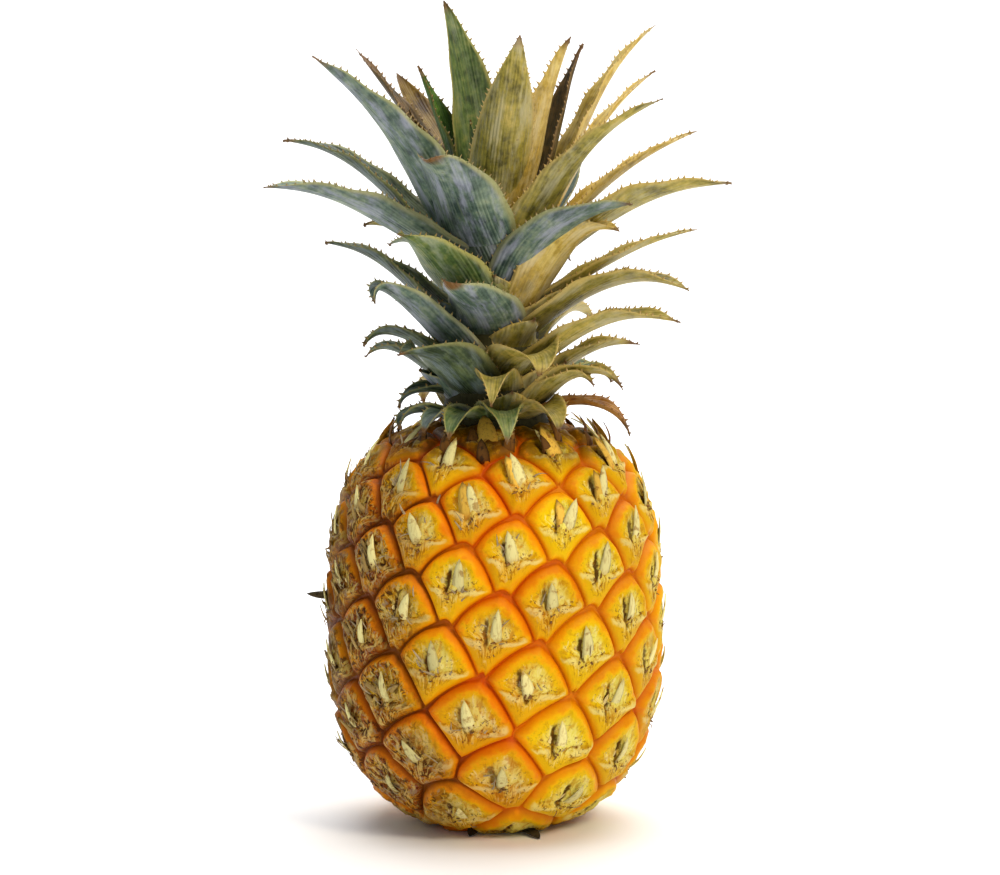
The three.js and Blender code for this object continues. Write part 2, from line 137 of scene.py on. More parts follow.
def eye_sides(directions):
    """The sides of every eye's cell, as rows of (eye, corner, corner, the eye beyond),
    and the corners.

    Neighbours are the ends of the edges of the directions' convex hull. A hull face's
    normal is as far from its three eyes, so it is the corner where they meet.
    """
    hull = bmesh.new()
    for d in directions:
        hull.verts.new(d)
    hull.verts.index_update()
    bmesh.ops.convex_hull(hull, input=hull.verts[:])
    hull.faces.index_update()
    triples = np.array([[v.index for v in face.verts] for face in hull.faces])
    a, b, c = (directions[triples[:, k]] for k in range(3))
    corners = unit(np.cross(b - a, c - a))
    corners *= np.sign(np.sum(corners * a, axis=1))[:, None]
    rows = []
    for edge in hull.edges:
        ends = [v.index for v in edge.verts]
        faces = [face.index for face in edge.link_faces]
        rows += [(ends[0], *faces, ends[1]), (ends[1], *faces[::-1], ends[0])]
    hull.free()
    rows = np.array(rows)
    eye, first, second = directions[rows[:, 0]], corners[rows[:, 1]], corners[rows[:, 2]]
    backwards = np.sum(np.cross(first - eye, second - eye) * eye, axis=1) < 0
    rows[backwards] = rows[backwards][:, [0, 2, 1, 3]]
    return rows, corners


WAVE_COUNT = 9


def waves(points, size, seed):
    """Smooth noise, mostly from -1 to 1: a sum of seeded sine waves about size mm long."""
    random = np.random.default_rng(seed)
    axes = unit(random.normal(size=(WAVE_COUNT, 3))) * 2 * math.pi / size
    axes *= random.uniform(0.6, 1.5, (WAVE_COUNT, 1))
    phase = random.uniform(0, 2 * math.pi, WAVE_COUNT)
    return np.sin(points @ axes.T + phase).sum(-1) / math.sqrt(WAVE_COUNT) / 1.2


def smooth(value, low, high):
    """0 below low, 1 above high, and a soft step between."""
    t = np.clip((value - low) / (high - low), 0, 1)
    return t * t * (3 - 2 * t)


GROOVE_DEPTH = 2.8
ARCH_SHARPNESS, POINT_SHARPNESS = 0.6, 2.0
ARCH_RISE = 1.7
SKIN_RINGS, SKIN_STEPS, RING_CROWDING = 18, 8, 1.35
NO_SIDE, FARTHEST_PAST = 99.0, -9.0
eyes = eye_directions()
sides, cell_corners = eye_sides(eyes)
eye_point, eye_normal, _ = skin(eyes)
eye_x, eye_y, eye_height = eye_point.T
eye_right = unit(np.stack([-eyes[:, 1], eyes[:, 0], 0 * eyes[:, 0]], -1))
eye_up = np.cross(eye_normal, eye_right)
eye_random = np.random.default_rng(11).uniform(-1, 1, (len(eyes), 8))


def per_side(rows, column=0):
    """The row of each side's eye, corner or eye beyond, to go with the side's grid."""
    return rows[sides[:, column]][:, None, None, :]


def skin_patches():
    """Grids over every (eye, side): rings from the eye's centre out to the side, which
    lie closer together near the side, where the skin folds into the groove.

    Gives the point, its normal, the distance to the nearest groove in mm, and the place
    in the eye, a disc of radius 1 with x to the right and y up the fruit.
    """
    rings = (1 - np.linspace(1, 0, SKIN_RINGS + 1) ** RING_CROWDING)[None, :, None, None]
    steps = np.linspace(0, 1, SKIN_STEPS + 1)[None, None, :, None]
    eye, first, second = per_side(eyes), per_side(cell_corners, 1), per_side(cell_corners, 2)
    # Each side bows up by as much as it faces up, so that the lower eye's top is an arch.
    beyond = unit(per_side(eyes, 3) - eye)
    size = skin((first + second) / 2)[2][..., None]
    edge = first * (1 - steps) + second * steps
    edge = edge + beyond * beyond[..., 2:] * (ARCH_RISE / size) * 4 * steps * (1 - steps)
    d = unit(eye * (1 - rings) + edge * rings)
    point, normal, scale = skin(d)
    offset = point[:, -1:] - per_side(eye_point)
    right = np.sum(offset * per_side(eye_right), -1)
    up = np.sum(offset * per_side(eye_up), -1)
    reach = np.hypot(right, up)
    x = right / reach * rings[..., 0]
    y = up / reach * rings[..., 0]
    # The table's row for an eye lists its sides, filled up with -1. The distance to the
    # groove is a soft minimum of those to the eye's sides: a softer one rounds the top of
    # the eye to an arch, and a sharper one leaves its foot pointed.
    count = np.bincount(sides[:, 0])
    order = np.argsort(sides[:, 0], kind="stable")
    rank = np.arange(len(sides)) - np.repeat(np.cumsum(count) - count, count)
    table = np.full((len(eyes), count.max()), -1)
    table[sides[order, 0], rank] = order
    own = per_side(table)
    first, second = (cell_corners[sides[own, k]] for k in (1, 2))
    other = eyes[sides[own, 3]]
    middle, spot = eye[..., None, :], d[..., None, :]
    gap = np.maximum(np.linalg.norm(middle - other, axis=-1), 1e-9)
    away = np.sum(spot * (middle - other), -1) / gap * scale[..., None]
    along = np.sum((spot - first) * (second - first), -1) / np.sum((second - first) ** 2, -1)
    along = np.clip(along, 0, 1)
    away += ARCH_RISE * (other - middle)[..., 2] / gap * 4 * along * (1 - along)
    away = np.maximum(np.where(own >= 0, away, NO_SIDE), FARTHEST_PAST)
    arch, pointed = (np.maximum(-np.log(np.exp(-sharpness * away).sum(-1)) / sharpness, 0)
                     for sharpness in (ARCH_SHARPNESS, POINT_SHARPNESS))
    groove = pointed + (arch - pointed) * smooth(y, -0.1, 0.5)
    groove = np.maximum(groove + 0.35 * waves(point, 9.0, 8) * smooth(groove, 0.3, 2.0), 0)
    return point, normal, groove, x, y


SLIT_X, SLIT_Y, SLIT_LEAN, SLIT_HALF = -0.19, 0.05, 0.28, 0.40


def slit_place(x, y, random):
    """Across and along the withered slit left of the spike, which leans by -15 to 15
    degrees: across is 0 on its line, and along is 0 at its middle and 1 at its ends."""
    across = x - SLIT_X - SLIT_LEAN * random[..., 4] * (y - SLIT_Y)
    return across, np.abs(y - SLIT_Y) / (SLIT_HALF + 0.08 * random[..., 5])


LIP, FOLD, RIM, SLIT, RIDGE, DIP = 0.45, -0.40, 0.50, -0.9, 0.7, -0.6
LUMPS, SMALL_LUMPS, EYE_LEAN = 0.22, 0.14, 0.45


def eye_relief(point, groove, x, y, random):
    """Height of the skin over the outline in mm: the groove's depth below it, and the
    named heights times bell curves and soft steps of the place.

    A rounded pillow that rises from the groove, highest under the upper rim; a crease in
    a shallow V from corner to corner, where the bract's lip laps over the sepals; and a
    slit beside the centre, where the flower withered, with a ridge at its right.
    """
    pillow = 1 - np.exp(-groove / 1.15)
    crease = y + 0.30 * (1 - np.abs(x)) + 0.05 * random[..., 0]
    inside = smooth(groove, 0.5, 2.5)
    lip = LIP * np.exp(-((crease + 0.08) / 0.18) ** 2) * (crease < -0.02)
    fold = FOLD * np.exp(-((crease - 0.02) / 0.08) ** 2) * smooth(np.abs(x), 0.1, 0.4)
    rim = RIM * smooth(y, -0.1, 0.5) * np.exp(-((groove - 2.6) / 1.4) ** 2)
    across, along = slit_place(x, y, random)
    slit = SLIT * np.exp(-(across / 0.065) ** 2) * smooth(along, 1.15, 0.7)
    ridge = RIDGE * np.exp(-((across - 0.24) / 0.17) ** 2) * smooth(along, 1.4, 0.4)
    dip = DIP * smooth(groove, 3.6, 7.0)
    lean = EYE_LEAN * (random[..., 1] * x + random[..., 2] * y) * inside
    lumps = LUMPS * waves(point, 6.0, 3) + SMALL_LUMPS * waves(point, 2.4, 4)
    shape = lip + fold + rim + slit + ridge + dip + lumps
    return GROOVE_DEPTH * (pillow - 1) + inside * shape + lean


def mesh_object(name, vertices, faces, uvs=None, corner_source=None):
    """A smooth-shaded mesh from points in mm, with UV maps.

    A UV map's row is picked for each face corner by corner_source, or by its vertex.
    """
    mesh = bpy.data.meshes.new(name)
    mesh.from_pydata((np.asarray(vertices) * MM).tolist(), [], faces)
    source = corner_source
    if source is None:
        source = np.empty(len(mesh.loops), np.int64)
        mesh.loops.foreach_get("vertex_index", source)
    for layer, values in (uvs or {}).items():
        mesh.uv_layers.new(name=layer).data.foreach_set("uv", values[source].astype("f").ravel())
    mesh.shade_smooth()
    made = bpy.data.objects.new(name, mesh)
    bpy.context.scene.collection.objects.link(made)
    return made


FOOT_CLEARANCE, FOOT_HOLLOW = 0.15, 3.0


def skin_object():
    """The closed skin: the patches are joined where they meet, after their relief."""
    base, normal, groove, x, y = skin_patches()
    random = per_side(eye_random)
    height = eye_relief(base, groove, x, y, random)
    point = base + normal * height[..., None]
    # The foot is flat where it bears on the ground and drawn up round the stalk.
    from_axis = np.hypot(point[..., 0], point[..., 1])
    hollow = 1 - smooth(from_axis, STALK_RADIUS + 0.5, STALK_RADIUS + 4)
    point[..., 2] = np.maximum(point[..., 2], FOOT_CLEARANCE + FOOT_HOLLOW * hollow)
    _, first, welded = np.unique(
        np.round(base.reshape(-1, 3), 3), axis=0, return_index=True, return_inverse=True)
    welded = welded.reshape(-1)
    index = np.arange(groove.size).reshape(groove.shape)
    inner, outer = index[:, :-1], index[:, 1:]
    quads = np.stack(
        [inner[:, 1:, :-1], outer[:, 1:, :-1], outer[:, 1:, 1:], inner[:, 1:, 1:]], -1)
    fans = np.stack([inner[:, 0, :-1], outer[:, 0, :-1], outer[:, 0, 1:]], -1)
    faces, source = [], []
    for rows in (quads.reshape(-1, 4), fans.reshape(-1, 3)):
        # A face that has shrunk to nothing between welded points is left out.
        rows = rows[(welded[rows] != welded[np.roll(rows, -1, axis=1)]).all(axis=1)]
        faces += welded[rows].tolist()
        source.append(rows.reshape(-1))
    pairs = {"eye": (x, y), "rim": (groove, np.broadcast_to(random[..., 3], groove.shape)),
             "slit": slit_place(x, y, random)}
    uvs = {layer: np.stack(pair, -1).reshape(-1, 2) for layer, pair in pairs.items()}
    return mesh_object("fruit_skin", point.reshape(-1, 3)[first], faces, uvs,
                       np.concatenate(source))


def linear(code):
    """An sRGB hex colour as linear red, green and blue, and an alpha of 1."""
    values = np.array([int(code[k:k + 2], 16) for k in (1, 3, 5)]) / 255
    low, high = values / 12.92, ((values + 0.055) / 1.055) ** 2.4
    return (*np.where(values <= 0.04045, low, high), 1.0)


def connect(node, inputs):
    """Sets a node's inputs, each to a value or to another node's output."""
    for key, value in inputs.items():
        if isinstance(value, bpy.types.NodeSocket):
            node.id_data.links.new(value, node.inputs[key])
        else:
            node.inputs[key].default_value = value


def add(kind, inputs, ramp=(), tree=None, **settings):
    """Adds a node to a tree, its inputs' own if none is given, with its inputs, the
    stops of its colour ramp, and its settings."""
    joined = [value for value in inputs.values() if isinstance(value, bpy.types.NodeSocket)]
    made = (tree or joined[0].id_data).nodes.new("ShaderNode" + kind)
    for key, value in settings.items():
        setattr(made, key, value)
    connect(made, inputs)
    for k, (place, code) in enumerate(ramp):
        stops = made.color_ramp.elements
        stop = stops[k] if k < 2 else stops.new(place)
        stop.position, stop.color = place, linear(code)
    return made


def new_material(name):
    """A material, its surface shader, and the piece's own coordinates in m."""
    material = bpy.data.materials.new(name)
    material.use_nodes = True
    tree = material.node_tree
    return material, tree.nodes["Principled BSDF"], add("TexCoord", {}, tree=tree).outputs["Object"]


def uv_place(material, layer):
    """The two outputs of a UV map."""
    place = add("UVMap", {}, tree=material.node_tree, uv_map=layer).outputs[0]
    return add("SeparateXYZ", {0: place}).outputs[:2]


def layers(colour, rows, where=None):
    """A colour with others laid over it, all of them only where a mask is.

    A row is a value, where its soft step begins and ends, the most that the colour
    covers, and the colour.
    """
    for value, low, high, most, code in rows:
        amount = add("MapRange", {0: value, 1: low, 2: high, 3: 0.0, 4: most},
                     interpolation_type="SMOOTHSTEP").outputs[0]
        if where is not None:
            amount = add("Math", {0: where, 1: amount}, operation="MULTIPLY").outputs[0]
        colour = add("Mix", {0: amount, 6: colour, 7: linear(code)}, data_type="RGBA").outputs[2]
    return colour


def skin_material():
    """Waxy pineapple skin: a thin dark orange line round each eye, an orange band under
    the arch of its top, a yellow rim, and a cream and tan centre with withered slits."""
    material, shader, coords = new_material("waxy_pineapple_skin")
    side_x, side_y, side_z = add("SeparateXYZ", {0: coords}).outputs
    x, y = uv_place(material, "eye")
    groove, tone = uv_place(material, "rim")
    slit_across, slit_along = uv_place(material, "slit")
    aside = add("Math", {0: x}, operation="ABSOLUTE").outputs[0]

    # Blotches about 4 mm across push every border in and out, so that none looks drawn.
    blotch = add("TexNoise",
                 {"Vector": coords, "Scale": 260.0, "Detail": 5.0, "Roughness": 0.62}).outputs[0]
    speck = add("TexNoise",
                {"Vector": coords, "Scale": 900.0, "Detail": 3.0, "Roughness": 0.65}).outputs[0]
    shift = add("Math",
                {0: add("MapRange", {0: blotch, 1: 0.3, 2: 0.7, 3: -1.4, 4: 1.4}).outputs[0],
                 1: add("MapRange", {0: groove, 1: 0.5, 2: 2.5},
                        interpolation_type="SMOOTHSTEP").outputs[0]},
                operation="MULTIPLY").outputs[0]
    inner = add("Math", {0: groove, 1: shift}, operation="ADD").outputs[0]
    edge = add("Math", {0: inner, 1: 8.0}, operation="DIVIDE").outputs[0]
    upper = add("ValToRGB", {0: edge},
                ramp=[(0.0, "#e27000"), (0.12, "#e88000"), (0.24, "#ee9200"), (0.34, "#f0a602"),
                      (0.44, "#eaae08"), (0.60, "#e8b634"), (0.82, "#e8bf58"),
                      (1.0, "#e8c468")]).outputs[0]
    lower = add("ValToRGB", {0: edge},
                ramp=[(0.0, "#e27400"), (0.06, "#e88800"), (0.14, "#e89c10"), (0.26, "#e4a830"),
                      (0.60, "#e0ac44"), (1.0, "#dcac4c")]).outputs[0]

    # The crease runs in a shallow V from one side corner of the eye to the other.
    wander = add("MapRange", {0: blotch, 1: 0.3, 2: 0.7, 3: -0.10, 4: 0.10}).outputs[0]
    crease = add("Math",
                 {0: add("Math", {0: 1.0, 1: aside}, operation="SUBTRACT").outputs[0], 1: 0.30,
                  2: y}, operation="MULTIPLY_ADD").outputs[0]
    crease = add("Math", {0: crease, 1: wander}, operation="ADD").outputs[0]
    colour = add("Mix",
                 {0: add("MapRange", {0: crease, 1: 0.08, 2: -0.08},
                         interpolation_type="SMOOTHSTEP").outputs[0], 6: upper, 7: lower},
                 data_type="RGBA").outputs[2]

    # Round the foot of the spike the eye is cream, and pale fibres fan out from there,
    # with tan between them, grey specks, and brown streaks below the crease.
    inside = add("MapRange", {0: inner, 1: 2.4, 2: 5.5},
                 interpolation_type="SMOOTHSTEP").outputs[0]
    middle = add("CombineXYZ",
                 {0: add("Math", {0: x, 1: 0.12}, operation="SUBTRACT").outputs[0],
                  1: add("Math", {0: y, 1: 0.8, 2: -0.12},
                         operation="MULTIPLY_ADD").outputs[0]}).outputs[0]
    middle = add("VectorMath", {0: middle}, operation="LENGTH").outputs["Value"]
    middle = add("Math", {0: wander, 1: 1.5, 2: middle}, operation="MULTIPLY_ADD").outputs[0]
    fan = add("Math", {0: x, 1: add("Math", {0: y, 1: 1.3}, operation="ADD").outputs[0]},
              operation="DIVIDE").outputs[0]
    fan = add("CombineXYZ",
              {0: add("Math", {0: fan, 1: 13.0}, operation="MULTIPLY").outputs[0],
               1: add("Math", {0: y, 1: 3.4}, operation="MULTIPLY").outputs[0],
               2: add("Math", {0: tone, 1: 9.0}, operation="MULTIPLY").outputs[0]}).outputs[0]
    fibre = add("TexNoise",
                {"Vector": fan, "Scale": 1.0, "Detail": 4.0, "Roughness": 0.6,
                 "Distortion": 0.6}).outputs[0]
    colour = layers(colour, [
        (middle, 0.62, 0.12, 0.80, "#e8d674"),
        (fibre, 0.50, 0.36, 0.65, "#c88834"),
        (fibre, 0.53, 0.64, 0.60, "#f2e09c"),
        (speck, 0.56, 0.66, 0.25, "#a48c68")], inside)
    below = add("Math",
                {0: add("MapRange", {0: crease, 1: 0.0, 2: -0.12},
                        interpolation_type="SMOOTHSTEP").outputs[0],
                 1: add("MapRange", {0: inner, 1: 1.8, 2: 3.8},
                        interpolation_type="SMOOTHSTEP").outputs[0]},
                operation="MULTIPLY").outputs[0]
    colour = layers(colour, [(fibre, 0.47, 0.39, 0.6, "#9c5a1a")], below)

    # A cream wedge lies under each end of the crease, a thin brown line in it, and the
    # dark slit beside the eye's centre.
    wedge = add("Math", {0: add("Math", {0: crease, 1: 0.14}, operation="ADD").outputs[0]},
                operation="ABSOLUTE").outputs[0]
    wedge = add("Math",
                {0: add("MapRange", {0: wedge, 1: 0.16, 2: 0.02},
                        interpolation_type="SMOOTHSTEP").outputs[0],
                 1: add("MapRange", {0: aside, 1: 0.15, 2: 0.45},
                        interpolation_type="SMOOTHSTEP").outputs[0]},
                operation="MULTIPLY").outputs[0]
    colour = layers(colour, [(groove, 1.0, 2.4, 0.7, "#ecd68c")], wedge)
    line = add("Math",
               {0: add("Math",
                       {0: add("MapRange",
                               {0: add("Math", {0: crease}, operation="ABSOLUTE").outputs[0],
                                1: 0.05, 2: 0.0}, interpolation_type="SMOOTHSTEP").outputs[0],
                        1: add("MapRange", {0: groove, 1: 1.5, 2: 3.5},
                               interpolation_type="SMOOTHSTEP").outputs[0]},
                       operation="MULTIPLY").outputs[0],
                1: add("MapRange", {0: speck, 1: 0.38, 2: 0.58, 3: 0.0, 4: 0.65},
                       interpolation_type="SMOOTHSTEP").outputs[0]},
               operation="MULTIPLY").outputs[0]
    colour = add("Mix", {0: line, 6: colour, 7: linear("#b0661a")}, data_type="RGBA").outputs[2]
    slit = add("Math", {0: wander, 1: 0.6, 2: slit_across}, operation="MULTIPLY_ADD").outputs[0]
    slit = add("Math",
               {0: add("Math",
                       {0: add("MapRange",
                               {0: add("Math", {0: slit}, operation="ABSOLUTE").outputs[0],
                                1: 0.09, 2: 0.03}, interpolation_type="SMOOTHSTEP").outputs[0],
                        1: add("MapRange", {0: slit_along, 1: 1.1, 2: 0.75},
                               interpolation_type="SMOOTHSTEP").outputs[0]},
                       operation="MULTIPLY").outputs[0],
                1: add("MapRange", {0: tone, 1: -1.0, 2: 0.2, 3: 0.6, 4: 0.95},
                       interpolation_type="SMOOTHSTEP").outputs[0]},
               operation="MULTIPLY").outputs[0]
    colour = add("Mix", {0: slit, 6: colour, 7: linear("#4e280c")}, data_type="RGBA").outputs[2]

    # Small brown scars, thicker in the lower half of an eye, and patches of rust.
    scar = add("Math",
               {0: add("Math",
                       {0: add("MapRange", {0: speck, 1: 0.57, 2: 0.64},
                               interpolation_type="SMOOTHSTEP").outputs[0],
                        1: add("MapRange", {0: groove, 1: 2.2, 2: 5.0},
                               interpolation_type="SMOOTHSTEP").outputs[0]},
                       operation="MULTIPLY").outputs[0],
                1: add("MapRange", {0: y, 1: 0.5, 2: -0.2, 3: 0.28, 4: 0.9},
                       interpolation_type="SMOOTHSTEP").outputs[0]},
               operation="MULTIPLY").outputs[0]
    colour = add("Mix", {0: scar, 6: colour, 7: linear("#744420")}, data_type="RGBA").outputs[2]
    colour = layers(colour, [(blotch, 0.55, 0.66, 0.5, "#c07420")],
                    add("MapRange", {0: groove, 1: 1.0, 2: 3.0},
                        interpolation_type="SMOOTHSTEP").outputs[0])

    # One side of the fruit, the front left, further round at its foot, is browner, with brown and
    # grey
    # crust and pale fibres on its eyes: partly weathering, partly painted shade on the side away
    # from the key light.
    turned = add("Math", {0: side_y, 1: 0.5, 2: side_x}, operation="MULTIPLY_ADD").outputs[0]
    for low, high, amount in ((0.048, 0.012, 0.018), (0.100, 0.128, 0.004)):
        turned = add("Math",
                     {0: turned,
                      1: add("MapRange", {0: side_z, 1: low, 2: high, 3: 0.0, 4: amount},
                             interpolation_type="SMOOTHSTEP").outputs[0]},
                     operation="SUBTRACT").outputs[0]
    weather_and_shade = add("Math", {0: blotch, 1: 0.014, 2: turned}, operation="MULTIPLY_ADD").outputs[0]
    weather_and_shade = add("MapRange", {0: weather_and_shade, 1: -0.038, 2: -0.052},
                  interpolation_type="SMOOTHSTEP").outputs[0]
    patch = add("MapRange", {0: blotch, 1: 0.34, 2: 0.60, 3: 0.35, 4: 1.0},
                interpolation_type="SMOOTHSTEP").outputs[0]
    from_arch = add("Math",
                    {0: inner,
                     1: add("MapRange", {0: y, 1: 0.35, 2: -0.15, 3: 0.0, 4: 2.4},
                            interpolation_type="SMOOTHSTEP").outputs[0]},
                    operation="ADD").outputs[0]
    within = add("Math",
                 {0: weather_and_shade,
                  1: add("MapRange", {0: from_arch, 1: 1.2, 2: 3.0, 3: 0.12, 4: 1.0},
                         interpolation_type="SMOOTHSTEP").outputs[0]},
                 operation="MULTIPLY").outputs[0]
    worn_and_shaded = add("Mix", {0: 1.0, 6: colour, 7: linear("#a07438")}, data_type="RGBA",
               blend_type="MULTIPLY").outputs[2]
    colour = add("Mix",
                 {0: add("Math", {0: within, 1: patch}, operation="MULTIPLY").outputs[0],
                  6: colour, 7: worn_and_shaded}, data_type="RGBA").outputs[2]
    crust = add("TexNoise",
                {"Vector": coords, "Scale": 460.0, "Detail": 3.0, "Roughness": 0.6,
                 "Distortion": 0.8}).outputs[0]
    colour = layers(colour, [
        (crust, 0.49, 0.42, 0.9, "#3a2008"),
        (crust, 0.54, 0.62, 0.6, "#a09478"),
        (fibre, 0.52, 0.60, 0.7, "#dcc070")], within)

    # The top is painted brown under the crown: brown stain, and painted shade under the leaves. The
    # left edge is painted dark brown in patches: painted shade on the side away from the key light,
    # over its weathering.
    stain = add("Math",
                {0: add("MapRange", {0: side_z, 1: 0.122, 2: 0.132},
                        interpolation_type="SMOOTHSTEP").outputs[0],
                 1: add("MapRange", {0: blotch, 1: 0.32, 2: 0.56, 3: 0.35, 4: 0.9},
                        interpolation_type="SMOOTHSTEP").outputs[0]},
                operation="MULTIPLY").outputs[0]
    colour = add("Mix", {0: stain, 6: colour, 7: linear("#683e10")}, data_type="RGBA").outputs[2]
    colour = layers(colour, [(side_x, -0.043, -0.056, 0.8, "#5a3c14")], patch)
    # The bottom of every groove is painted a darker orange, and near black-brown on the left:
    # painted shade in the grooves on the side away from the key light.
    shade = add("Mix",
                {0: add("MapRange", {0: turned, 1: -0.032, 2: -0.050},
                        interpolation_type="SMOOTHSTEP").outputs[0], 6: linear("#d05c00"),
                 7: linear("#542604")}, data_type="RGBA").outputs[2]
    colour = add("Mix",
                 {0: add("MapRange", {0: groove, 1: 0.70, 2: 0.10, 3: 0.0, 4: 0.8},
                         interpolation_type="SMOOTHSTEP").outputs[0], 6: colour, 7: shade},
                 data_type="RGBA").outputs[2]
    # Painted shade: on the left side the eyes darken towards their grooves.
    colour = layers(colour, [(inner, 2.2, 0.5, 0.6, "#6a3804")], weather_and_shade)

    # The eyes differ a little in tint, and the right side is yellower. The right side is also
    # painted
    # darker: painted shade that tones down the key light there.
    tint = add("Math",
               {0: add("MapRange", {0: tone, 1: -1.0, 2: 1.0, 3: 0.490, 4: 0.510}).outputs[0],
                1: add("MapRange", {0: side_x, 1: 0.0, 2: 0.022, 3: 0.0, 4: 0.010},
                       interpolation_type="SMOOTHSTEP").outputs[0]}, operation="ADD").outputs[0]
    value = add("Math",
                {0: add("MapRange", {0: tone, 1: -1.0, 2: 1.0, 3: 0.88, 4: 1.03}).outputs[0],
                 1: add("MapRange", {0: side_x, 1: 0.012, 2: 0.038, 3: 1.0, 4: 0.87},
                        interpolation_type="SMOOTHSTEP").outputs[0]},
                operation="MULTIPLY").outputs[0]
    colour = add("HueSaturation", {"Hue": tint, "Saturation": 1.06, "Value": value,
                                   "Color": colour}).outputs[0]

    fine = add("Bump", {"Strength": 0.4, "Distance": 0.0005, "Height": speck}).outputs[0]
    fibres = add("Bump",
                 {"Strength": 0.35, "Distance": 0.0006,
                  "Height": add("Math", {0: fibre, 1: inside}, operation="MULTIPLY").outputs[0],
                  "Normal": fine}).outputs[0]
    pits = add("Math",
               {0: add("Math", {0: slit, 1: line}, operation="MAXIMUM").outputs[0], 1: -1.0},
               operation="MULTIPLY").outputs[0]
    connect(shader,
            {"Base Color": colour,
             "Roughness": add("MapRange",
                              {0: groove, 1: 0.0, 2: 6.0, 3: 0.42, 4: 0.66}).outputs[0],
             "IOR": 1.45, "Specular IOR Level": 0.10,
             "Normal": add("Bump",
                           {"Strength": 0.5, "Distance": 0.0008, "Height": pits,
                            "Normal": fibres}).outputs[0]})
    return material


fruit_skin = skin_object()
fruit_skin.data.materials.append(skin_material())
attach(fruit_skin, "root")
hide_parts("fruit")

# ------------------------------------------------------------------ the dried bracts
# Out of every eye's pit stands the dry tip of its bract, a cream spike that leans up the
# fruit, between two low sepal tips, over the brown crumbs of the flower.

SPIKE_HEIGHTS = (7.0, 133.0)
SPIKE_FOOT, SEPAL_FOOT = -4.0, -1.6
LONGER_BY, LONGER_ABOVE, LONGEST_ABOVE = 1.2, 96, 122
BLADE_STATIONS = 7
BLADE_SECTION = [(-1, -0.15), (-0.45, 0.75), (0.0, 1.0), (0.45, 0.75), (1, -0.15), (0, -0.8)]


def column(values, count):
    """A value for each of count rows, as a column."""
    return np.broadcast_to(values, count)[:, None]


def blades(origin, right, up, normal, length, width, thickness, rise, bow, lean):
    """Pointed blades along curves, as vertices (blade, station, 6, 3) in mm.

    At share s the centre is up by length s, out by rise s + bow sin(pi s), and right by
    lean s^2. The section is a flat lozenge of six corners, width (1-s)^0.75 (0.75 + 0.8 s)
    across and thickness (1 - 0.7 s) deep.
    """
    s = np.linspace(0, 1, BLADE_STATIONS)
    length, width, thickness, rise, bow, lean = (
        column(values, len(origin)) for values in (length, width, thickness, rise, bow, lean))
    out = rise * s + bow * np.sin(math.pi * s)
    centre = origin[:, None] + up[:, None] * (length * s)[..., None]
    centre = centre + normal[:, None] * out[..., None] + right[:, None] * (lean * s ** 2)[..., None]
    half = width / 2 * (1 - s) ** 0.75 * (0.75 + 0.8 * s) + 0.04
    thick = thickness / 2 * (1 - 0.7 * s) + 0.03
    rows = [centre + right[:, None] * (half * a)[..., None]
            + normal[:, None] * (thick * b)[..., None] for a, b in BLADE_SECTION]
    return np.stack(rows, 2)


def tube_faces(tubes, stations, corners, start=0):
    """Quads round rows of closed sections, with both ends capped, as a list of faces."""
    index = start + np.arange(tubes * stations * corners).reshape(tubes, stations, corners)
    turned = np.roll(index, -1, axis=2)
    quads = np.stack([index[:, :-1], turned[:, :-1], turned[:, 1:], index[:, 1:]], -1)
    return quads.reshape(-1, 4).tolist() + index[:, 0, ::-1].tolist() + index[:, -1].tolist()


def dry_material(name, root, middle, tip, dark):
    """Dry papery bract: colour from its root to its tip, with fibres along it and
    brown flecks. It has no wax, so it is dull."""
    material, shader, coords = new_material(name)
    share, tone = uv_place(material, "blade")
    colour = add("ValToRGB", {0: share},
                 ramp=[(0.0, root), (0.25, middle), (0.8, middle), (1.0, tip)]).outputs[0]
    along = add("VectorMath", {0: coords, 1: (1500.0, 1500.0, 260.0)},
                operation="MULTIPLY").outputs[0]
    fibre = add("TexNoise", {"Vector": along, "Scale": 1.0, "Detail": 3.0}).outputs[0]
    fleck = add("TexNoise", {"Vector": coords, "Scale": 420.0, "Detail": 4.0}).outputs[0]
    colour = layers(colour, [(fibre, 0.50, 0.72, 0.5, dark), (fleck, 0.56, 0.68, 0.8, dark)])
    value = add("MapRange", {0: tone, 1: 0.0, 2: 1.0, 3: 0.72, 4: 1.1}).outputs[0]
    colour = add("HueSaturation", {"Value": value, "Color": colour}).outputs[0]
    connect(shader,
            {"Base Color": colour, "Roughness": 0.72, "Specular IOR Level": 0.2,
             "Normal": add("Bump",
                           {"Strength": 0.5, "Distance": 0.0004, "Height": fibre}).outputs[0]})
    return material


def dry_piece(name, groups, material, *colours):
    """One object from groups of blades, with the share along and a random tone as UV, in
    a dry material of its own."""
    vertices, faces, places = [], [], []
    start = 0
    for number, rows in enumerate(groups):
        blade_count, stations, corners, _ = rows.shape
        faces += tube_faces(blade_count, stations, corners, start)
        start += rows[..., 0].size
        vertices.append(rows.reshape(-1, 3))
        tone = np.random.default_rng(50 + number).uniform(0, 1, (blade_count, 1, 1))
        share = np.linspace(0, 1, stations)[None, :, None]
        place = np.broadcast_arrays(share, tone, np.zeros((1, 1, corners)))
        places.append(np.stack(place[:2], -1).reshape(-1, 2))
    made = mesh_object(name, np.concatenate(vertices), faces, {"blade": np.concatenate(places)})
    made.data.materials.append(dry_material(material, *colours))
    return made


def eye_frames(chosen, x, y, depth, turn):
    """Origins and axes for blades in the chosen eyes, offset in mm and turned in degrees."""
    right, up, normal = eye_right[chosen], eye_up[chosen], eye_normal[chosen]
    x, y, depth, a = (column(values, len(chosen)) for values in (x, y, depth, np.radians(turn)))
    origin = eye_point[chosen] + right * x + up * y - normal * depth
    return origin, right * np.cos(a) - up * np.sin(a), up * np.cos(a) + right * np.sin(a), normal


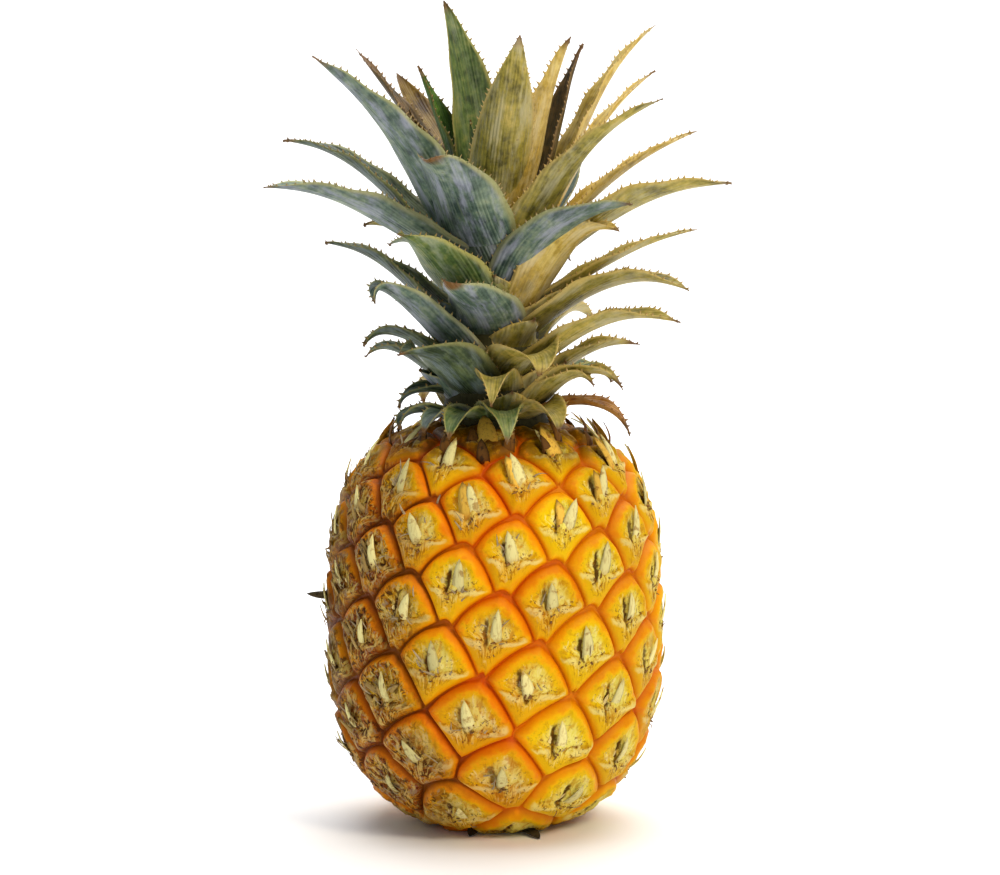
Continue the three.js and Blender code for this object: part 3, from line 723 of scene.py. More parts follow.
draw = np.random.default_rng(23)


def sizes(count, length, width, thickness, rise, bow, lean):
    """Sizes of count blades in mm: each drawn evenly from its range, and the lean about 0."""
    drawn = {"length": length, "width": width, "thickness": thickness, "rise": rise, "bow": bow}
    drawn = {name: draw.uniform(low, high, count) for name, (low, high) in drawn.items()}
    return {**drawn, "lean": draw.normal(0, lean, count)}


# The spikes and the sepal tips at their sides, one left and one right.
open_eyes = np.flatnonzero((eye_height > SPIKE_HEIGHTS[0]) & (eye_height < SPIKE_HEIGHTS[1]))
n = len(open_eyes)
more = LONGER_BY * smooth(eye_height[open_eyes], LONGER_ABOVE, LONGEST_ABOVE)
spike_turn = eye_random[open_eyes, 4] * 16 + draw.normal(0, 5, n)
spikes = blades(
    *eye_frames(open_eyes, draw.normal(0.7, 0.3, n), SPIKE_FOOT, 1.6, spike_turn),
    **sizes(n, (10.2 + more, 12.8 + more), (4.6, 6.0), (1.1, 1.5), (2.0 + more, 3.0 + more),
            (0.6, 1.2), 0.8))
sepals = [blades(
    *eye_frames(open_eyes, place + draw.normal(0, 0.3, n), SEPAL_FOOT, 1.9,
                turn + 10 * draw.uniform(-1, 1, n) + 0.5 * spike_turn),
    **sizes(n, (3.4, 5.6), (2.0, 3.0), (0.6, 0.9), (0.5, 1.1), (0.1, 0.4), 0.4))
    for place, turn in ((-3.9, 8), (3.4, -10))]
bract_spikes = dry_piece("bract_spikes", [spikes],
                         "dry_cream_bract", "#d0a850", "#e8dc94", "#d8c880", "#a8823e")
sepal_tips = dry_piece("sepal_tips", sepals,
                       "dry_tan_sepal", "#cf9a44", "#e4cc84", "#c49a50", "#94602a")

# Crumbs of the withered flower lie round the spike's foot.
CRUMBS_EACH = 4
crumb_eyes = np.repeat(open_eyes, CRUMBS_EACH)
n = len(crumb_eyes)
crumbs = blades(
    *eye_frames(crumb_eyes, draw.normal(-0.1, 1.6, n), draw.normal(-4.0, 1.3, n),
                draw.uniform(0.3, 0.9, n), draw.uniform(-180, 180, n)),
    **sizes(n, (0.8, 2.0), (0.5, 1.2), (0.4, 0.8), (0.4, 1.3), (0.1, 0.5), 0.6))
flower_crumbs = dry_piece("flower_crumbs", [crumbs],
                          "withered_flower", "#7a4e20", "#8a6232", "#5c4020", "#4a2e12")

# Dry hairs stand off the skin, and an eye on its weathered side has up to six of them.
MOST_HAIRS, HAIRY_SIDE, BARE_SIDE = 6, -60, 20
weathered = 1 - smooth((eye_x + 0.5 * eye_y)[open_eyes], HAIRY_SIDE, BARE_SIDE)
hair_at = np.repeat(np.arange(len(open_eyes)), np.round(0.4 + MOST_HAIRS * weathered).astype(int))
n = len(hair_at)
broader = 0.5 * weathered[hair_at]
hairs = blades(
    *eye_frames(open_eyes[hair_at], draw.normal(0, 3.2, n), draw.normal(-2, 3, n),
                draw.uniform(1.2, 2.2, n), draw.uniform(-70, 70, n)),
    **sizes(n, (2.5, 6.5), (0.4 + broader, 0.7 + broader), (0.2, 0.4), (1.4, 3.2), (0, 1.0), 1.8))
dry_hairs = dry_piece("dry_hairs", [hairs],
                      "dry_grey_fibre", "#8a6a3c", "#b09a74", "#5a4a38", "#6a543a")

# On the weathered side broad brown rags are left of the bracts.
ROUGH_PAST, RAGS_EACH = -46, 5
rough_eyes = np.repeat(open_eyes[(eye_x + 0.3 * eye_y)[open_eyes] < ROUGH_PAST], RAGS_EACH)
n = len(rough_eyes)
rags = blades(
    *eye_frames(rough_eyes, draw.normal(0, 2.6, n), draw.normal(-2.6, 2.4, n), 1.6,
                draw.uniform(-50, 50, n)),
    **sizes(n, (3.5, 8.0), (1.6, 3.6), (0.6, 1.0), (1.8, 4.0), (0.2, 1.0), 1.6))
rough_bracts = dry_piece("rough_bracts", [rags],
                         "dry_brown_bract", "#9a6014", "#a88a4c", "#5c4a30", "#42301a")

# The bracts of the shoulder's eyes are long and broad, and stand up past their eyes, but
# not on the weathered side.
SHOULDER_HEIGHTS, STEEPEST_ABOVE, SHOULDER_SIDE = (108, 135.5), 130, -34
shoulder_eyes = np.flatnonzero(
    (eye_height > SHOULDER_HEIGHTS[0]) & (eye_height < SHOULDER_HEIGHTS[1])
    & (eye_x + 0.5 * eye_y > SHOULDER_SIDE))
n = len(shoulder_eyes)
steep = smooth(eye_height[shoulder_eyes], SHOULDER_HEIGHTS[0], STEEPEST_ABOVE)
length, width, rise = 11.5 + 3.5 * steep, 6.2 + 2.2 * steep, 2.0 + 3.0 * steep
shoulder = blades(
    *eye_frames(shoulder_eyes, draw.normal(0.6, 0.7, n), -5.0, 1.9, draw.uniform(-16, 16, n)),
    **sizes(n, (length - 1.5, length + 1.5), (width - 1.2, width + 1.2), (0.9, 1.3),
            (rise - 0.5, rise + 0.5), (0.6, 1.3), 1.2))
shoulder_bracts = dry_piece("shoulder_bracts", [shoulder],
                            "half_dry_bract", "#e48a0c", "#ecbc48", "#6a441a", "#9a5c18")

# Broad brown scales, the last bracts below the crown, stand round its foot.
SCALE_COUNT, SCALE_HEIGHTS, SCALE_AZIMUTH = 24, (133.0, 128.5), 72
n = np.arange(SCALE_COUNT)
azimuth = SCALE_AZIMUTH + DIVERGENCE * n
height = np.interp(n, (0, SCALE_COUNT - 1), SCALE_HEIGHTS)
reach = np.interp(height, HEIGHTS, RADII) - 1.5
scales = blades(
    outward(azimuth) * reach[:, None] + UP * (height - 2)[:, None],
    sideways(azimuth), np.tile(UP, (SCALE_COUNT, 1)), outward(azimuth),
    **sizes(SCALE_COUNT, (6, 10), (4, 8), (0.8, 1.1), (-4.5, -1.0), (1.0, 2.2), 2.0))
crown_scales = dry_piece("crown_scales", [scales],
                         "dry_brown_scale", "#6a3c0a", "#704814", "#3c260e", "#33200a")
for piece in (bract_spikes, sepal_tips, flower_crumbs, dry_hairs, shoulder_bracts, crown_scales,
              rough_bracts):
    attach(piece, "root")
    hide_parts("fruit")

# ------------------------------------------------------------------ the lowest bracts
# The bracts of the lowest eyes are longer, dry and nearly black, and are pressed flat
# between the fruit and what it stands on. One more like them has bent away at the side.
# The columns are azimuth, reach, width and lean, and the loose one's are azimuth, reach
# and height.

FOOT_BRACTS = [(26, 36, 8, 1.0), (-17, 30.5, 7, -0.6), (118, 33, 7, 0.5), (171, 35, 8, -0.8),
               (-112, 34, 7, 0.7)]
FOOT_ROOT = 17.0
LOOSE_BRACT = (-86, 54.5, 78)
azimuth, reach, width, lean = np.array(FOOT_BRACTS).T
foot = blades(
    outward(azimuth) * FOOT_ROOT + UP, -sideways(azimuth), outward(azimuth),
    np.tile(UP, (len(azimuth), 1)), length=reach - FOOT_ROOT, width=width, thickness=1.1,
    rise=-0.55, bow=0.8, lean=lean)
azimuth, reach, height = np.array([LOOSE_BRACT]).T
loose = blades(
    outward(azimuth) * reach + UP * height, UP[None], outward(azimuth), sideways(azimuth),
    length=9.5, width=3.6, thickness=1.0, rise=1.5, bow=0.8, lean=0.6)
foot_bracts = dry_piece("foot_bracts", [foot, loose],
                        "dry_dark_bract", "#5a3c1c", "#463a22", "#2a2416", "#1e1810")
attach(foot_bracts, "root")
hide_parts("fruit")

# ------------------------------------------------------------------ the cut stalk
# The woody stalk that carried the fruit, sliced through with a knife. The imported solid
# has the right shape, so it only gets the finish: corky bark, and a face of fibre ends.


def stalk_material():
    """Cut monocot stem: pale fibre ends about 0.8 mm apart in a browner pith."""
    material, shader, coords = new_material("cut_fibrous_stalk")
    cells = add("TexVoronoi", {"Vector": coords, "Scale": 1250.0})
    stain = add("TexNoise", {"Vector": coords, "Scale": 160.0, "Detail": 4.0}).outputs[0]
    fibre = add("MapRange", {0: cells.outputs["Distance"], 1: 0.35, 2: 0.15},
                interpolation_type="SMOOTHSTEP").outputs[0]
    colour = add("Mix", {0: fibre, 6: linear("#a98450"), 7: linear("#d8c490")},
                 data_type="RGBA").outputs[2]
    colour = layers(colour, [(stain, 0.45, 0.70, 0.7, "#6a4522")])
    connect(shader,
            {"Base Color": colour, "Roughness": 0.85,
             "Normal": add("Bump",
                           {"Strength": 0.5, "Distance": 0.0004, "Height": fibre}).outputs[0]})
    return material


cut_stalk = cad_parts["cut_stalk"]
cut_stalk.data.materials.clear()
cut_stalk.data.materials.append(stalk_material())

# ------------------------------------------------------------------ the crown's stem
# A short tapering stem, hidden by the leaves' feet, that is ringed by their scars.

STEM_PROFILE = np.array([(131.6, 19.0), (150, 17.0), (175, 14.0), (200, 9.0), (215, 3.0)])
STEM_RINGS, STEM_ROUND = 60, 48
SCAR_PITCH, SCAR_HEIGHT = 5.0, 0.35


def stem_radius(height):
    """The stem's radius at a height, straight between the profile's points."""
    return np.interp(height, STEM_PROFILE[:, 0], STEM_PROFILE[:, 1])


def stem_object():
    """A surface of revolution half a mm inside the profile, with a sine of leaf scars."""
    height = np.linspace(STEM_PROFILE[0, 0], STEM_PROFILE[-1, 0], STEM_RINGS)
    azimuth = np.linspace(0, 360, STEM_ROUND, endpoint=False)
    scars = SCAR_HEIGHT * np.sin(height * 2 * math.pi / SCAR_PITCH)
    radius = stem_radius(height) - 0.5 + scars
    points = outward(azimuth)[None] * radius[:, None, None] + UP * height[:, None, None]
    return mesh_object("crown_stem", points.reshape(-1, 3), tube_faces(1, STEM_RINGS, STEM_ROUND),
                       {"blade": np.full((STEM_RINGS * STEM_ROUND, 2), 0.5)})


crown_stem = stem_object()
crown_stem.data.materials.append(
    dry_material("green_stem", "#3a381c", "#444224", "#3a381c", "#26240f"))
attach(crown_stem, "root")
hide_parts("crown")

# ------------------------------------------------------------------ the crown's leaves
# Stiff channelled leaves in a rosette. Each is thick along its midrib and thin at its
# margins, which carry a row of small hooked spines. The columns are those of the solids:
# azimuth, root height, reach, tip height, width, rise, fall, belly and sweep; then the
# finish, and how far the dry tip runs back.

BLUE, GREEN, SHADED_GREEN, SHADED_DARK, OLIVE, GOLD, BROWN, RUST, DRY = (
    "blue", "green", "shaded_green", "deep", "olive", "gold", "brown", "rust", "dry")
FRONT_LEAVES = [
    (-151, 202, 20.5, 278, 19.5, 64, 72, 2.5, 8.5, GREEN, 0.05),
    (6, 199, 22, 266, 17.5, 74, 125, 3.0, 6, OLIVE, 0.06),
    (59, 201, 29, 265.5, 18.5, 56, 61, 2.1, 0.5, GOLD, 0.06),
    (110, 200, 32.5, 263.5, 14, 41, 62, 1.8, 2, BROWN, 0.10),
    (109, 196, 58.5, 270, 16, 41, 36, 1.5, 1.5, GOLD, 0.04),
    (122, 187, 66, 254.5, 14.5, 48, 29, 0.9, 1, GOLD, 0.05),
    (44, 185, 70.5, 245, 29, 57, 18, 0.2, 7, OLIVE, 0.04),
    (96, 188, 68.5, 234, 18, 40, 20, 1.0, 0, GOLD, 0.04),
    (79, 181, 80, 217, 27.5, 39, 0, 1.8, -0.5, OLIVE, 0.05),
    (35, 173, 56, 211, 25, 68, 7, 1.8, 15.5, BLUE, 0.05),
    (62, 172, 48, 201.5, 25.5, 48, -20, 1.9, -3, GOLD, 0.06),
    (94, 175, 68.5, 201, 18, 22, 9, 0.6, 0, OLIVE, 0.04),
    (77, 165, 66.5, 181.5, 25.5, 39, -26, 1.5, -1.5, OLIVE, 0.04),
    (61, 153, 68.5, 172, 25, 38, -16, 1.0, 2, OLIVE, 0.05),
    (81, 147, 49.5, 163, 21, 36, -12, 1.0, -0.5, OLIVE, 0.12),
    (57, 142, 50, 149.5, 20, 42, -58, 0.8, 0.5, OLIVE, 0.12),
    (53, 141, 42, 150.5, 18, 32, -57, 0.8, -1.5, OLIVE, 0.10),
    (69, 139, 49, 133.5, 15.5, 32, -72, 0.6, -2.5, RUST, 0.15),
    (-42, 182, 77.5, 258.5, 31.5, 55, 31, 1.1, -8.5, BLUE, 0.05),
    (-27, 189, 56.5, 225.5, 24.5, 25, 3, 3.5, 3.5, BLUE, 0.10),
    (-106, 189, 76, 230.5, 22.5, 27, 1, 1.2, -1.5, SHADED_DARK, 0.05),
    (-72, 188, 80.5, 216, 28.5, 19, -2, 1.9, 2.5, BLUE, 0.04),
    (-106, 174, 47, 202, 20.5, 40, -14, 1.1, -1.5, OLIVE, 0.06),
    (-37, 175, 55, 201.5, 30, 22, 10, 1.4, 2, GREEN, 0.06),
    (-104, 168, 60, 196, 21, 27, 2, 1.3, -0.5, SHADED_DARK, 0.04),
    (-54, 157, 49, 178, 24, 38, -102, 1.2, 1, BLUE, 0.05),
    (-11, 164, 49, 187, 27, 52, 31, 1.8, -7.5, BLUE, 0.14),
    (-77, 153, 45, 162.5, 18, 39, -62, 1.0, 0, SHADED_DARK, 0.06),
    (-93, 145, 44, 158, 17.5, 43, -50, 0.8, 0, SHADED_DARK, 0.08),
    (-36, 146, 46, 161.5, 28.5, 26, -14, 2.2, -5.5, SHADED_DARK, 0.06),
    (27, 151, 41.5, 155, 27, 52, -83, 1.6, -5.5, OLIVE, 0.06),
    (-76, 144, 33, 141.5, 15, 48, -95, 0.4, 0.5, SHADED_DARK, 0.10),
    (-63, 137, 36.5, 135.5, 16, 39, -102, 0.6, 3, SHADED_DARK, 0.10),
    (1, 146, 44, 145.5, 20, 50, -80, 0.6, -2, OLIVE, 0.06),
    (36, 138, 39, 136.5, 23, 30, -71, 1.0, -2.5, OLIVE, 0.08),
    (5, 138, 46, 133.5, 20, 26, -66, 0.8, 0, GREEN, 0.08),
    (-22, 138, 40, 134, 18, 26, -76, 0.8, 0, GREEN, 0.10),
    (-42, 138, 35, 135, 18, 26, -76, 0.8, 0, BLUE, 0.10),
    (-119, 194, 54.5, 262, 16.5, 62, 47, 1.1, 0, BROWN, 0.10),
    (-136, 197, 49, 254, 24, 74, 58, 2.4, 0, DRY, 0.06),
    (-105, 198, 27, 256, 19.5, 67, 66, 1.6, 0, SHADED_GREEN, 0.06),
    (175, 206, 12, 250, 15, 88, 78, 1.6, 0, GREEN, 0.05),
    (-65, 208, 9, 238, 12, 90, 92, 1.6, 0, GREEN, 0.05),
    (50, 208, 8, 242, 12, 90, 94, 1.6, 0, OLIVE, 0.05),
    (170, 200, 22, 256, 17, 78, 88, 2.2, 0, GREEN, 0.05),
]
REPEATED_BELOW, REPEATED_WITHIN, REPEAT_STRETCH = 195, 30, 1.14
FAR_COUNT, FAR_FROM, FAR_STEP = 10, 124, 12.5
FAR_LOWEST, FAR_HIGHEST = 141, 186
FAR_REACH, FURTHER_BEHIND = 39, 22
VARIATION_SEED = 4


def all_leaves():
    """The listed leaves, those repeated half round on the far side, and the fillers.

    The draws are the solids' own: state = 1664525 state + 1013904223, modulo 2^32.
    """
    state = [VARIATION_SEED]

    def vary(amount):
        state[0] = (state[0] * 1664525 + 1013904223) % 2 ** 32
        return (2 * state[0] / 2 ** 32 - 1) * amount

    rows = list(FRONT_LEAVES)
    for azimuth, root, reach, tip, width, rise, fall, belly, sweep, finish, dry in FRONT_LEAVES:
        turn = math.radians(azimuth)
        aside = reach * math.sin(turn) + sweep * math.cos(turn)
        if root < REPEATED_BELOW and abs(aside) < REPEATED_WITHIN:
            azimuth += 180 + vary(9)
            reach *= REPEAT_STRETCH + vary(0.08)
            tip += vary(3)
            rows.append((azimuth, root, reach, tip, width, rise, fall, belly, sweep, finish, dry))
    for k in range(FAR_COUNT):
        azimuth = FAR_FROM + FAR_STEP * k + vary(4.5)
        height = ((k * 3) % FAR_COUNT) / (FAR_COUNT - 1)
        root = FAR_LOWEST + (FAR_HIGHEST - FAR_LOWEST) * height
        reach = FAR_REACH + FURTHER_BEHIND * math.cos(math.radians(azimuth)) ** 2
        rows.append((azimuth, root, reach, root + 7 + 15 * height, 21, 50,
                     -60 + 40 * height, 1.0, vary(4), (GREEN, OLIVE, BLUE)[k % 3], 0.07))
    return rows


SHEATH_COUNT, SHEATH_HEIGHTS, SHEATH_AZIMUTH = 18, (134.0, 184.0), 12.0
OLIVE_SIDE = (-25, 150)


def sheath_leaves():
    """Short leaves close against the stem, a golden angle apart from the bottom to the
    top, that fill the gaps between the feet of the others."""
    k = np.arange(SHEATH_COUNT)
    azimuths = (SHEATH_AZIMUTH + DIVERGENCE * k + 180) % 360 - 180
    roots = np.interp(k, (0, SHEATH_COUNT - 1), SHEATH_HEIGHTS)
    finishes = [OLIVE if OLIVE_SIDE[0] < azimuth < OLIVE_SIDE[1] else (GREEN, SHADED_DARK, BLUE)[number % 3]
                for number, azimuth in enumerate(azimuths)]
    return [(azimuth, root, stem_radius(root) + 8.5, root + 15, 25, 78, 52, 0.9, 0, finish, 0.06)
            for azimuth, root, finish in zip(azimuths, roots, finishes)]


LEAF_GRIP, LEAF_FOLD, LEAF_FOLDED = 4.5, 56.0, 0.45
LEAF_STATIONS, LEAF_ACROSS, STATION_CROWDING = 46, 13, 1.15
LEAF_END, TANGENT_STEP = 0.9985, 0.02
MARGIN_WAVE, WAVE_SPACING = 0.45, 3.1
SPINE_PITCH, SPINE_HEIGHT, SPINE_BASE, SPINE_SINK = 2.3, 1.1, 1.3, 0.35
SPINE_HOOK = 0.75
SPINES_FROM, SPINES_TO, SPINED_SHARE = 0.12, 0.975, 0.86
SPINE_U = np.array([1.1, 1.1, 1.1, 1.1, 1.5])
SPINE_FACES = [(0, 1, 4), (1, 2, 4), (2, 3, 4), (3, 0, 4), (2, 1, 0), (3, 2, 0)]


def midrib(leaf, share):
    """Points on a leaf's midrib: a cubic Bezier in the upright plane through the axis,
    from the stem to the tip, with handles 0.38 of its chord, swept sideways by share^2."""
    azimuth, root, reach, tip, _, rise, fall, _, sweep = leaf[:9]
    foot, end = np.array([stem_radius(root) - LEAF_GRIP, root]), np.array([reach, tip])
    handle = 0.38 * np.linalg.norm(end - foot)
    start_slope, end_slope = (np.array([math.cos(math.radians(a)), math.sin(math.radians(a))])
                              for a in (rise, fall))
    s = share[:, None]
    curve = (1 - s) ** 3 * foot + 3 * s * (1 - s) ** 2 * (foot + start_slope * handle)
    curve = curve + 3 * s * s * (1 - s) * (end - end_slope * handle) + s ** 3 * end
    along = outward(np.array(azimuth)) * curve[:, :1] + UP * curve[:, 1:]
    return along + sideways(np.array(azimuth)) * (sweep * share ** 2)[:, None]


def leaf_sections(leaf, share, seed):
    """Each share's centre and axes, its half angle and its channel's radius.

    The section is an arc that clasps the stem at the foot. Its half angle grows to the
    fold at share 0.45. The blade is width (1-s)(1 + belly s) along the arc, and rolls a
    few degrees about its midrib.
    """
    azimuth, root, _, _, widest, _, _, belly = leaf[:8]
    centre = midrib(leaf, share)
    along = unit(midrib(leaf, np.minimum(share + TANGENT_STEP, 1))
                 - midrib(leaf, np.maximum(share - TANGENT_STEP, 0)))
    across = sideways(np.array(azimuth))
    side = unit(across - along * (along @ across)[:, None])
    inner = np.cross(along, side)
    random = np.random.default_rng(seed)
    roll = np.radians(random.normal(0, 5) * share + 3 * np.sin(share * 9 + random.uniform(0, 6)))
    cos, sin = np.cos(roll)[:, None], np.sin(roll)[:, None]
    side, inner = side * cos + inner * sin, inner * cos - side * sin
    width = widest * (1 - share) * (1 + belly * share)
    clasp = widest / 2 / max(stem_radius(root) + 3, 0.55 * widest)
    turn = clasp + (math.radians(LEAF_FOLD) - clasp) * smooth(share, 0, LEAF_FOLDED)
    return centre, along, side, inner, turn, width / 2 / turn


def leaf_surface(leaf, share, u, seed, length, phase):
    """The middle of a leaf's blade at every share and every u across it, with the
    directions along, aside and out of the upper face, and the mm aside of the midrib.

    The point lies at the angle u turn on the channel's arc, and the margin waves over it
    by 0.45 u^4 sin(s length / 3.1 + phase + 1.3 sign(u)) mm.
    """
    centre, along, side, inner, turn, channel = (
        values[:, None] for values in leaf_sections(leaf, share, seed))
    wave = np.sin(share[:, None] * length / WAVE_SPACING + phase + 1.3 * np.sign(u))
    wave = MARGIN_WAVE * wave * u ** 4 * smooth(share, 0.1, 0.4)[:, None]
    cos, sin = np.cos(turn * u), np.sin(turn * u)
    out = channel * sin
    lift = channel * (1 - cos) + wave
    cos, sin = cos[..., None], sin[..., None]
    middle = centre + side * out[..., None] + inner * lift[..., None]
    return middle, along, side * cos + inner * sin, inner * cos - side * sin, out


def leaf_object(name, leaf, seed):
    """A leaf blade with its spines.

    The blade is (0.35 + 1.65 (1 - u^2)) (1 - 0.55 s) mm thick, and five low ribs run
    along its upper face. A spine is a four-sided hook on the margin, one every 2.3 mm.
    """
    vertices, uvs = [], {"blade": [], "size": [], "under": []}

    def keep(points, **pairs):
        """Keeps a grid of points, and at each a pair of values for every UV map."""
        vertices.append(points.reshape(-1, 3))
        for layer, pair in pairs.items():
            pair = [np.broadcast_to(values, points.shape[:2]) for values in pair]
            uvs[layer].append(np.stack(pair, -1).reshape(-1, 2))

    share = 1 - (1 - np.linspace(0, 1, LEAF_STATIONS)) ** STATION_CROWDING
    share[-1] = LEAF_END
    u = np.linspace(1, -1, LEAF_ACROSS)
    length = np.linalg.norm(np.diff(midrib(leaf, np.linspace(0, 1, 60)), axis=0), axis=1).sum()
    random = np.random.default_rng(seed + 500)
    phase = random.uniform(0, 6.28, 4)[0]
    middle, _, _, facing, out = leaf_surface(leaf, share, u, seed, length, phase)
    s = share[:, None]
    ribs = 0.18 * np.cos(u * 2 * math.pi * 2.5) * (1 - s) * (1 - u ** 2)
    thick = (0.35 + 1.65 * (1 - u ** 2)) * (1 - 0.55 * s) * smooth(1 - s, -0.05, 0.12)
    upper = middle + facing * (thick / 2 + ribs)[..., None]
    lower = middle - facing * (thick / 2)[..., None]
    under = np.repeat([0.0, 1.0], LEAF_ACROSS)
    keep(np.concatenate([upper, lower[:, ::-1]], axis=1),
         blade=(np.concatenate([u, u[::-1]]), s),
         size=(np.concatenate([out, out[:, ::-1]], axis=1), s * length), under=(under, under))
    faces = tube_faces(1, LEAF_STATIONS, 2 * LEAF_ACROSS)
    start = LEAF_STATIONS * 2 * LEAF_ACROSS

    n = int(length * SPINED_SHARE / SPINE_PITCH)
    at = np.linspace(SPINES_FROM, SPINES_TO, n) + random.uniform(-0.25, 0.25, n) / n
    for hand in (-1.0, 1.0):
        edge, along, away, facing, _ = (
            grid[:, 0] for grid in leaf_surface(leaf, at, np.array([hand]), seed, length, phase))
        away = hand * away
        size = (0.75 + 0.35 * random.uniform(-1, 1, n)) * smooth(at, 0.05, 0.4)
        size = (size * (1 - 0.45 * smooth(at, 0.8, 1.0)) + 0.25)[:, None]
        base = along * SPINE_BASE / 2 * (0.6 + 0.4 * size)
        thick = facing * 0.22 * (1 - 0.4 * at)[:, None]
        root = edge - away * SPINE_SINK
        tip = edge + away * SPINE_HEIGHT * size + along * SPINE_HOOK * size
        index = start + len(SPINE_U) * np.arange(n)[:, None]
        order = SPINE_FACES if hand > 0 else [face[::-1] for face in SPINE_FACES]
        faces += np.concatenate([index + np.array(face) for face in order]).tolist()
        start += len(SPINE_U) * n
        u, s = hand * SPINE_U, at[:, None]
        keep(np.stack([root - base, root + thick, root + base, root - thick, tip], 1),
             blade=(u, s), size=(10 * u, s * length), under=(0, 0))
    uvs = {layer: np.concatenate(rows) for layer, rows in uvs.items()}
    return mesh_object(name, np.concatenate(vertices), faces, uvs)


def leaf_material(name, deep, main, light, bloom, margin, dry_from):
    """Waxy pineapple leaf: fine ribs along it about 1 mm apart, a pale bloom of wax in
    patches, a yellower margin with tan spines, and a tip that has dried brown."""
    material, shader, coords = new_material(name)
    across, share = uv_place(material, "blade")
    aside, along = uv_place(material, "size")
    under, _ = uv_place(material, "under")
    cloud = add("TexNoise",
                {"Vector": coords, "Scale": 60.0, "Detail": 5.0, "Roughness": 0.6}).outputs[0]
    patch = add("TexNoise",
                {"Vector": coords, "Scale": 300.0, "Detail": 4.0, "Roughness": 0.6}).outputs[0]
    streak = add("TexNoise",
                 {"Vector": add("CombineXYZ",
                                {0: add("Math", {0: aside, 1: 1.1},
                                        operation="MULTIPLY").outputs[0],
                                 1: add("Math", {0: along, 1: 0.05},
                                        operation="MULTIPLY").outputs[0]}).outputs[0],
                  "Scale": 1.0, "Detail": 3.0}).outputs[0]
    mottle = add("Math",
                 {0: patch, 1: 0.5,
                  2: add("Math", {0: cloud, 1: 0.5}, operation="MULTIPLY").outputs[0]},
                 operation="MULTIPLY_ADD").outputs[0]
    colour = add("ValToRGB", {0: mottle},
                 ramp=[(0.38, deep), (0.5, main), (0.62, light)]).outputs[0]
    colour = layers(colour, [
        (streak, 0.46, 0.70, 0.35, light), (streak, 0.50, 0.32, 0.40, deep)])

    # The bloom is thicker on the under side.
    haze = add("CombineXYZ",
               {0: add("Math", {0: aside, 1: 0.30}, operation="MULTIPLY").outputs[0],
                1: add("Math", {0: along, 1: 0.07}, operation="MULTIPLY").outputs[0],
                2: cloud}).outputs[0]
    haze = add("TexNoise",
               {"Vector": haze, "Scale": 1.0, "Detail": 6.0, "Roughness": 0.62}).outputs[0]
    wax = add("Math",
              {0: add("MapRange", {0: haze, 1: 0.44, 2: 0.68, 3: 0.0, 4: 0.72},
                      interpolation_type="SMOOTHSTEP").outputs[0],
               1: add("MapRange", {0: under, 1: 0.0, 2: 1.0, 3: 0.4, 4: 1.0},
                      interpolation_type="SMOOTHSTEP").outputs[0]},
              operation="MULTIPLY").outputs[0]
    colour = add("Mix", {0: wax, 6: colour, 7: linear(bloom)}, data_type="RGBA").outputs[2]

    # The margin, the spines, the dried tip, brown flecks, and painted shade that darkens the foot.
    away = add("Math", {0: across}, operation="ABSOLUTE").outputs[0]
    colour = layers(colour,
                    [(away, 0.82, 0.97, 0.75, margin), (away, 1.08, 1.40, 0.80, "#a07a44"),
                     (add("Math", {0: patch, 1: 0.10, 2: share},
                          operation="MULTIPLY_ADD").outputs[0], dry_from + 0.02, dry_from + 0.10,
                      1.0, "#6e4e26"), (patch, 0.66, 0.74, 0.45, "#5e4a28"),
                     (add("Math", {0: cloud, 1: 0.2, 2: share},
                          operation="MULTIPLY_ADD").outputs[0], 0.32, 0.10, 0.45, "#46360f")])
    ribs = add("Bump",
               {"Strength": 0.25, "Distance": 0.0003,
                "Height": add("Math",
                              {0: add("Math", {0: aside, 1: 2 * math.pi},
                                      operation="MULTIPLY").outputs[0]},
                              operation="SINE").outputs[0]}).outputs[0]
    connect(shader,
            {"Base Color": colour,
             "Roughness": add("MapRange", {0: wax, 1: 0.0, 2: 1.0, 3: 0.42, 4: 0.68}).outputs[0],
             "IOR": 1.42,
             "Normal": add("Bump",
                           {"Strength": 0.35, "Distance": 0.0006, "Height": streak,
                            "Normal": ribs}).outputs[0]})
    return material


# Two finishes, the darkest greens, are painted shade: darker copies of the green ones for the leaves
# on the crown's shaded left side and for some close round the stem.
LEAF_FINISHES = {
    BLUE: ("waxy_blue_green_leaf", "#283c36", "#566c5c", "#8a987a", "#a2a6b8", "#aaa870"),
    GREEN: ("waxy_green_leaf", "#283e1c", "#587038", "#8e9250", "#98a288", "#b0a85c"),
    SHADED_GREEN: ("green_leaf_painted_shade", "#1a3008", "#345610", "#587a20", "#647e48", "#6c6420"),
    SHADED_DARK: ("waxy_leaf_painted_shade", "#182414", "#38482e", "#647248", "#788688", "#8a884c"),
    OLIVE: ("waxy_olive_leaf", "#565018", "#988c38", "#c2ac54", "#bcb48c", "#ccb264"),
    GOLD: ("waxy_golden_leaf", "#86702a", "#c0a040", "#dcc470", "#d8c898", "#dabe70"),
    BROWN: ("dried_brown_leaf", "#2c210a", "#463614", "#6e5228", "#6a6040", "#7c6238"),
    RUST: ("dried_rusty_leaf", "#6a3c10", "#a06a28", "#c08c3c", "#b09460", "#a07030"),
    DRY: ("dried_golden_leaf", "#4c320a", "#84641a", "#a88a3c", "#8e7436", "#9c7a34"),
}
leaf_materials = {}
for number, leaf in enumerate(all_leaves() + sheath_leaves()):
    finish, dry = leaf[9], leaf[10]
    if (finish, dry) not in leaf_materials:
        words = list(LEAF_FINISHES[finish])
        words[0] += "_%02d" % round(100 * dry)
        leaf_materials[finish, dry] = leaf_material(*words, 1 - dry)
    piece = leaf_object("leaf_%02d" % (number + 1), leaf, number)
    piece.data.materials.append(leaf_materials[finish, dry])
    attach(piece, "root")
    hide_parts("crown")

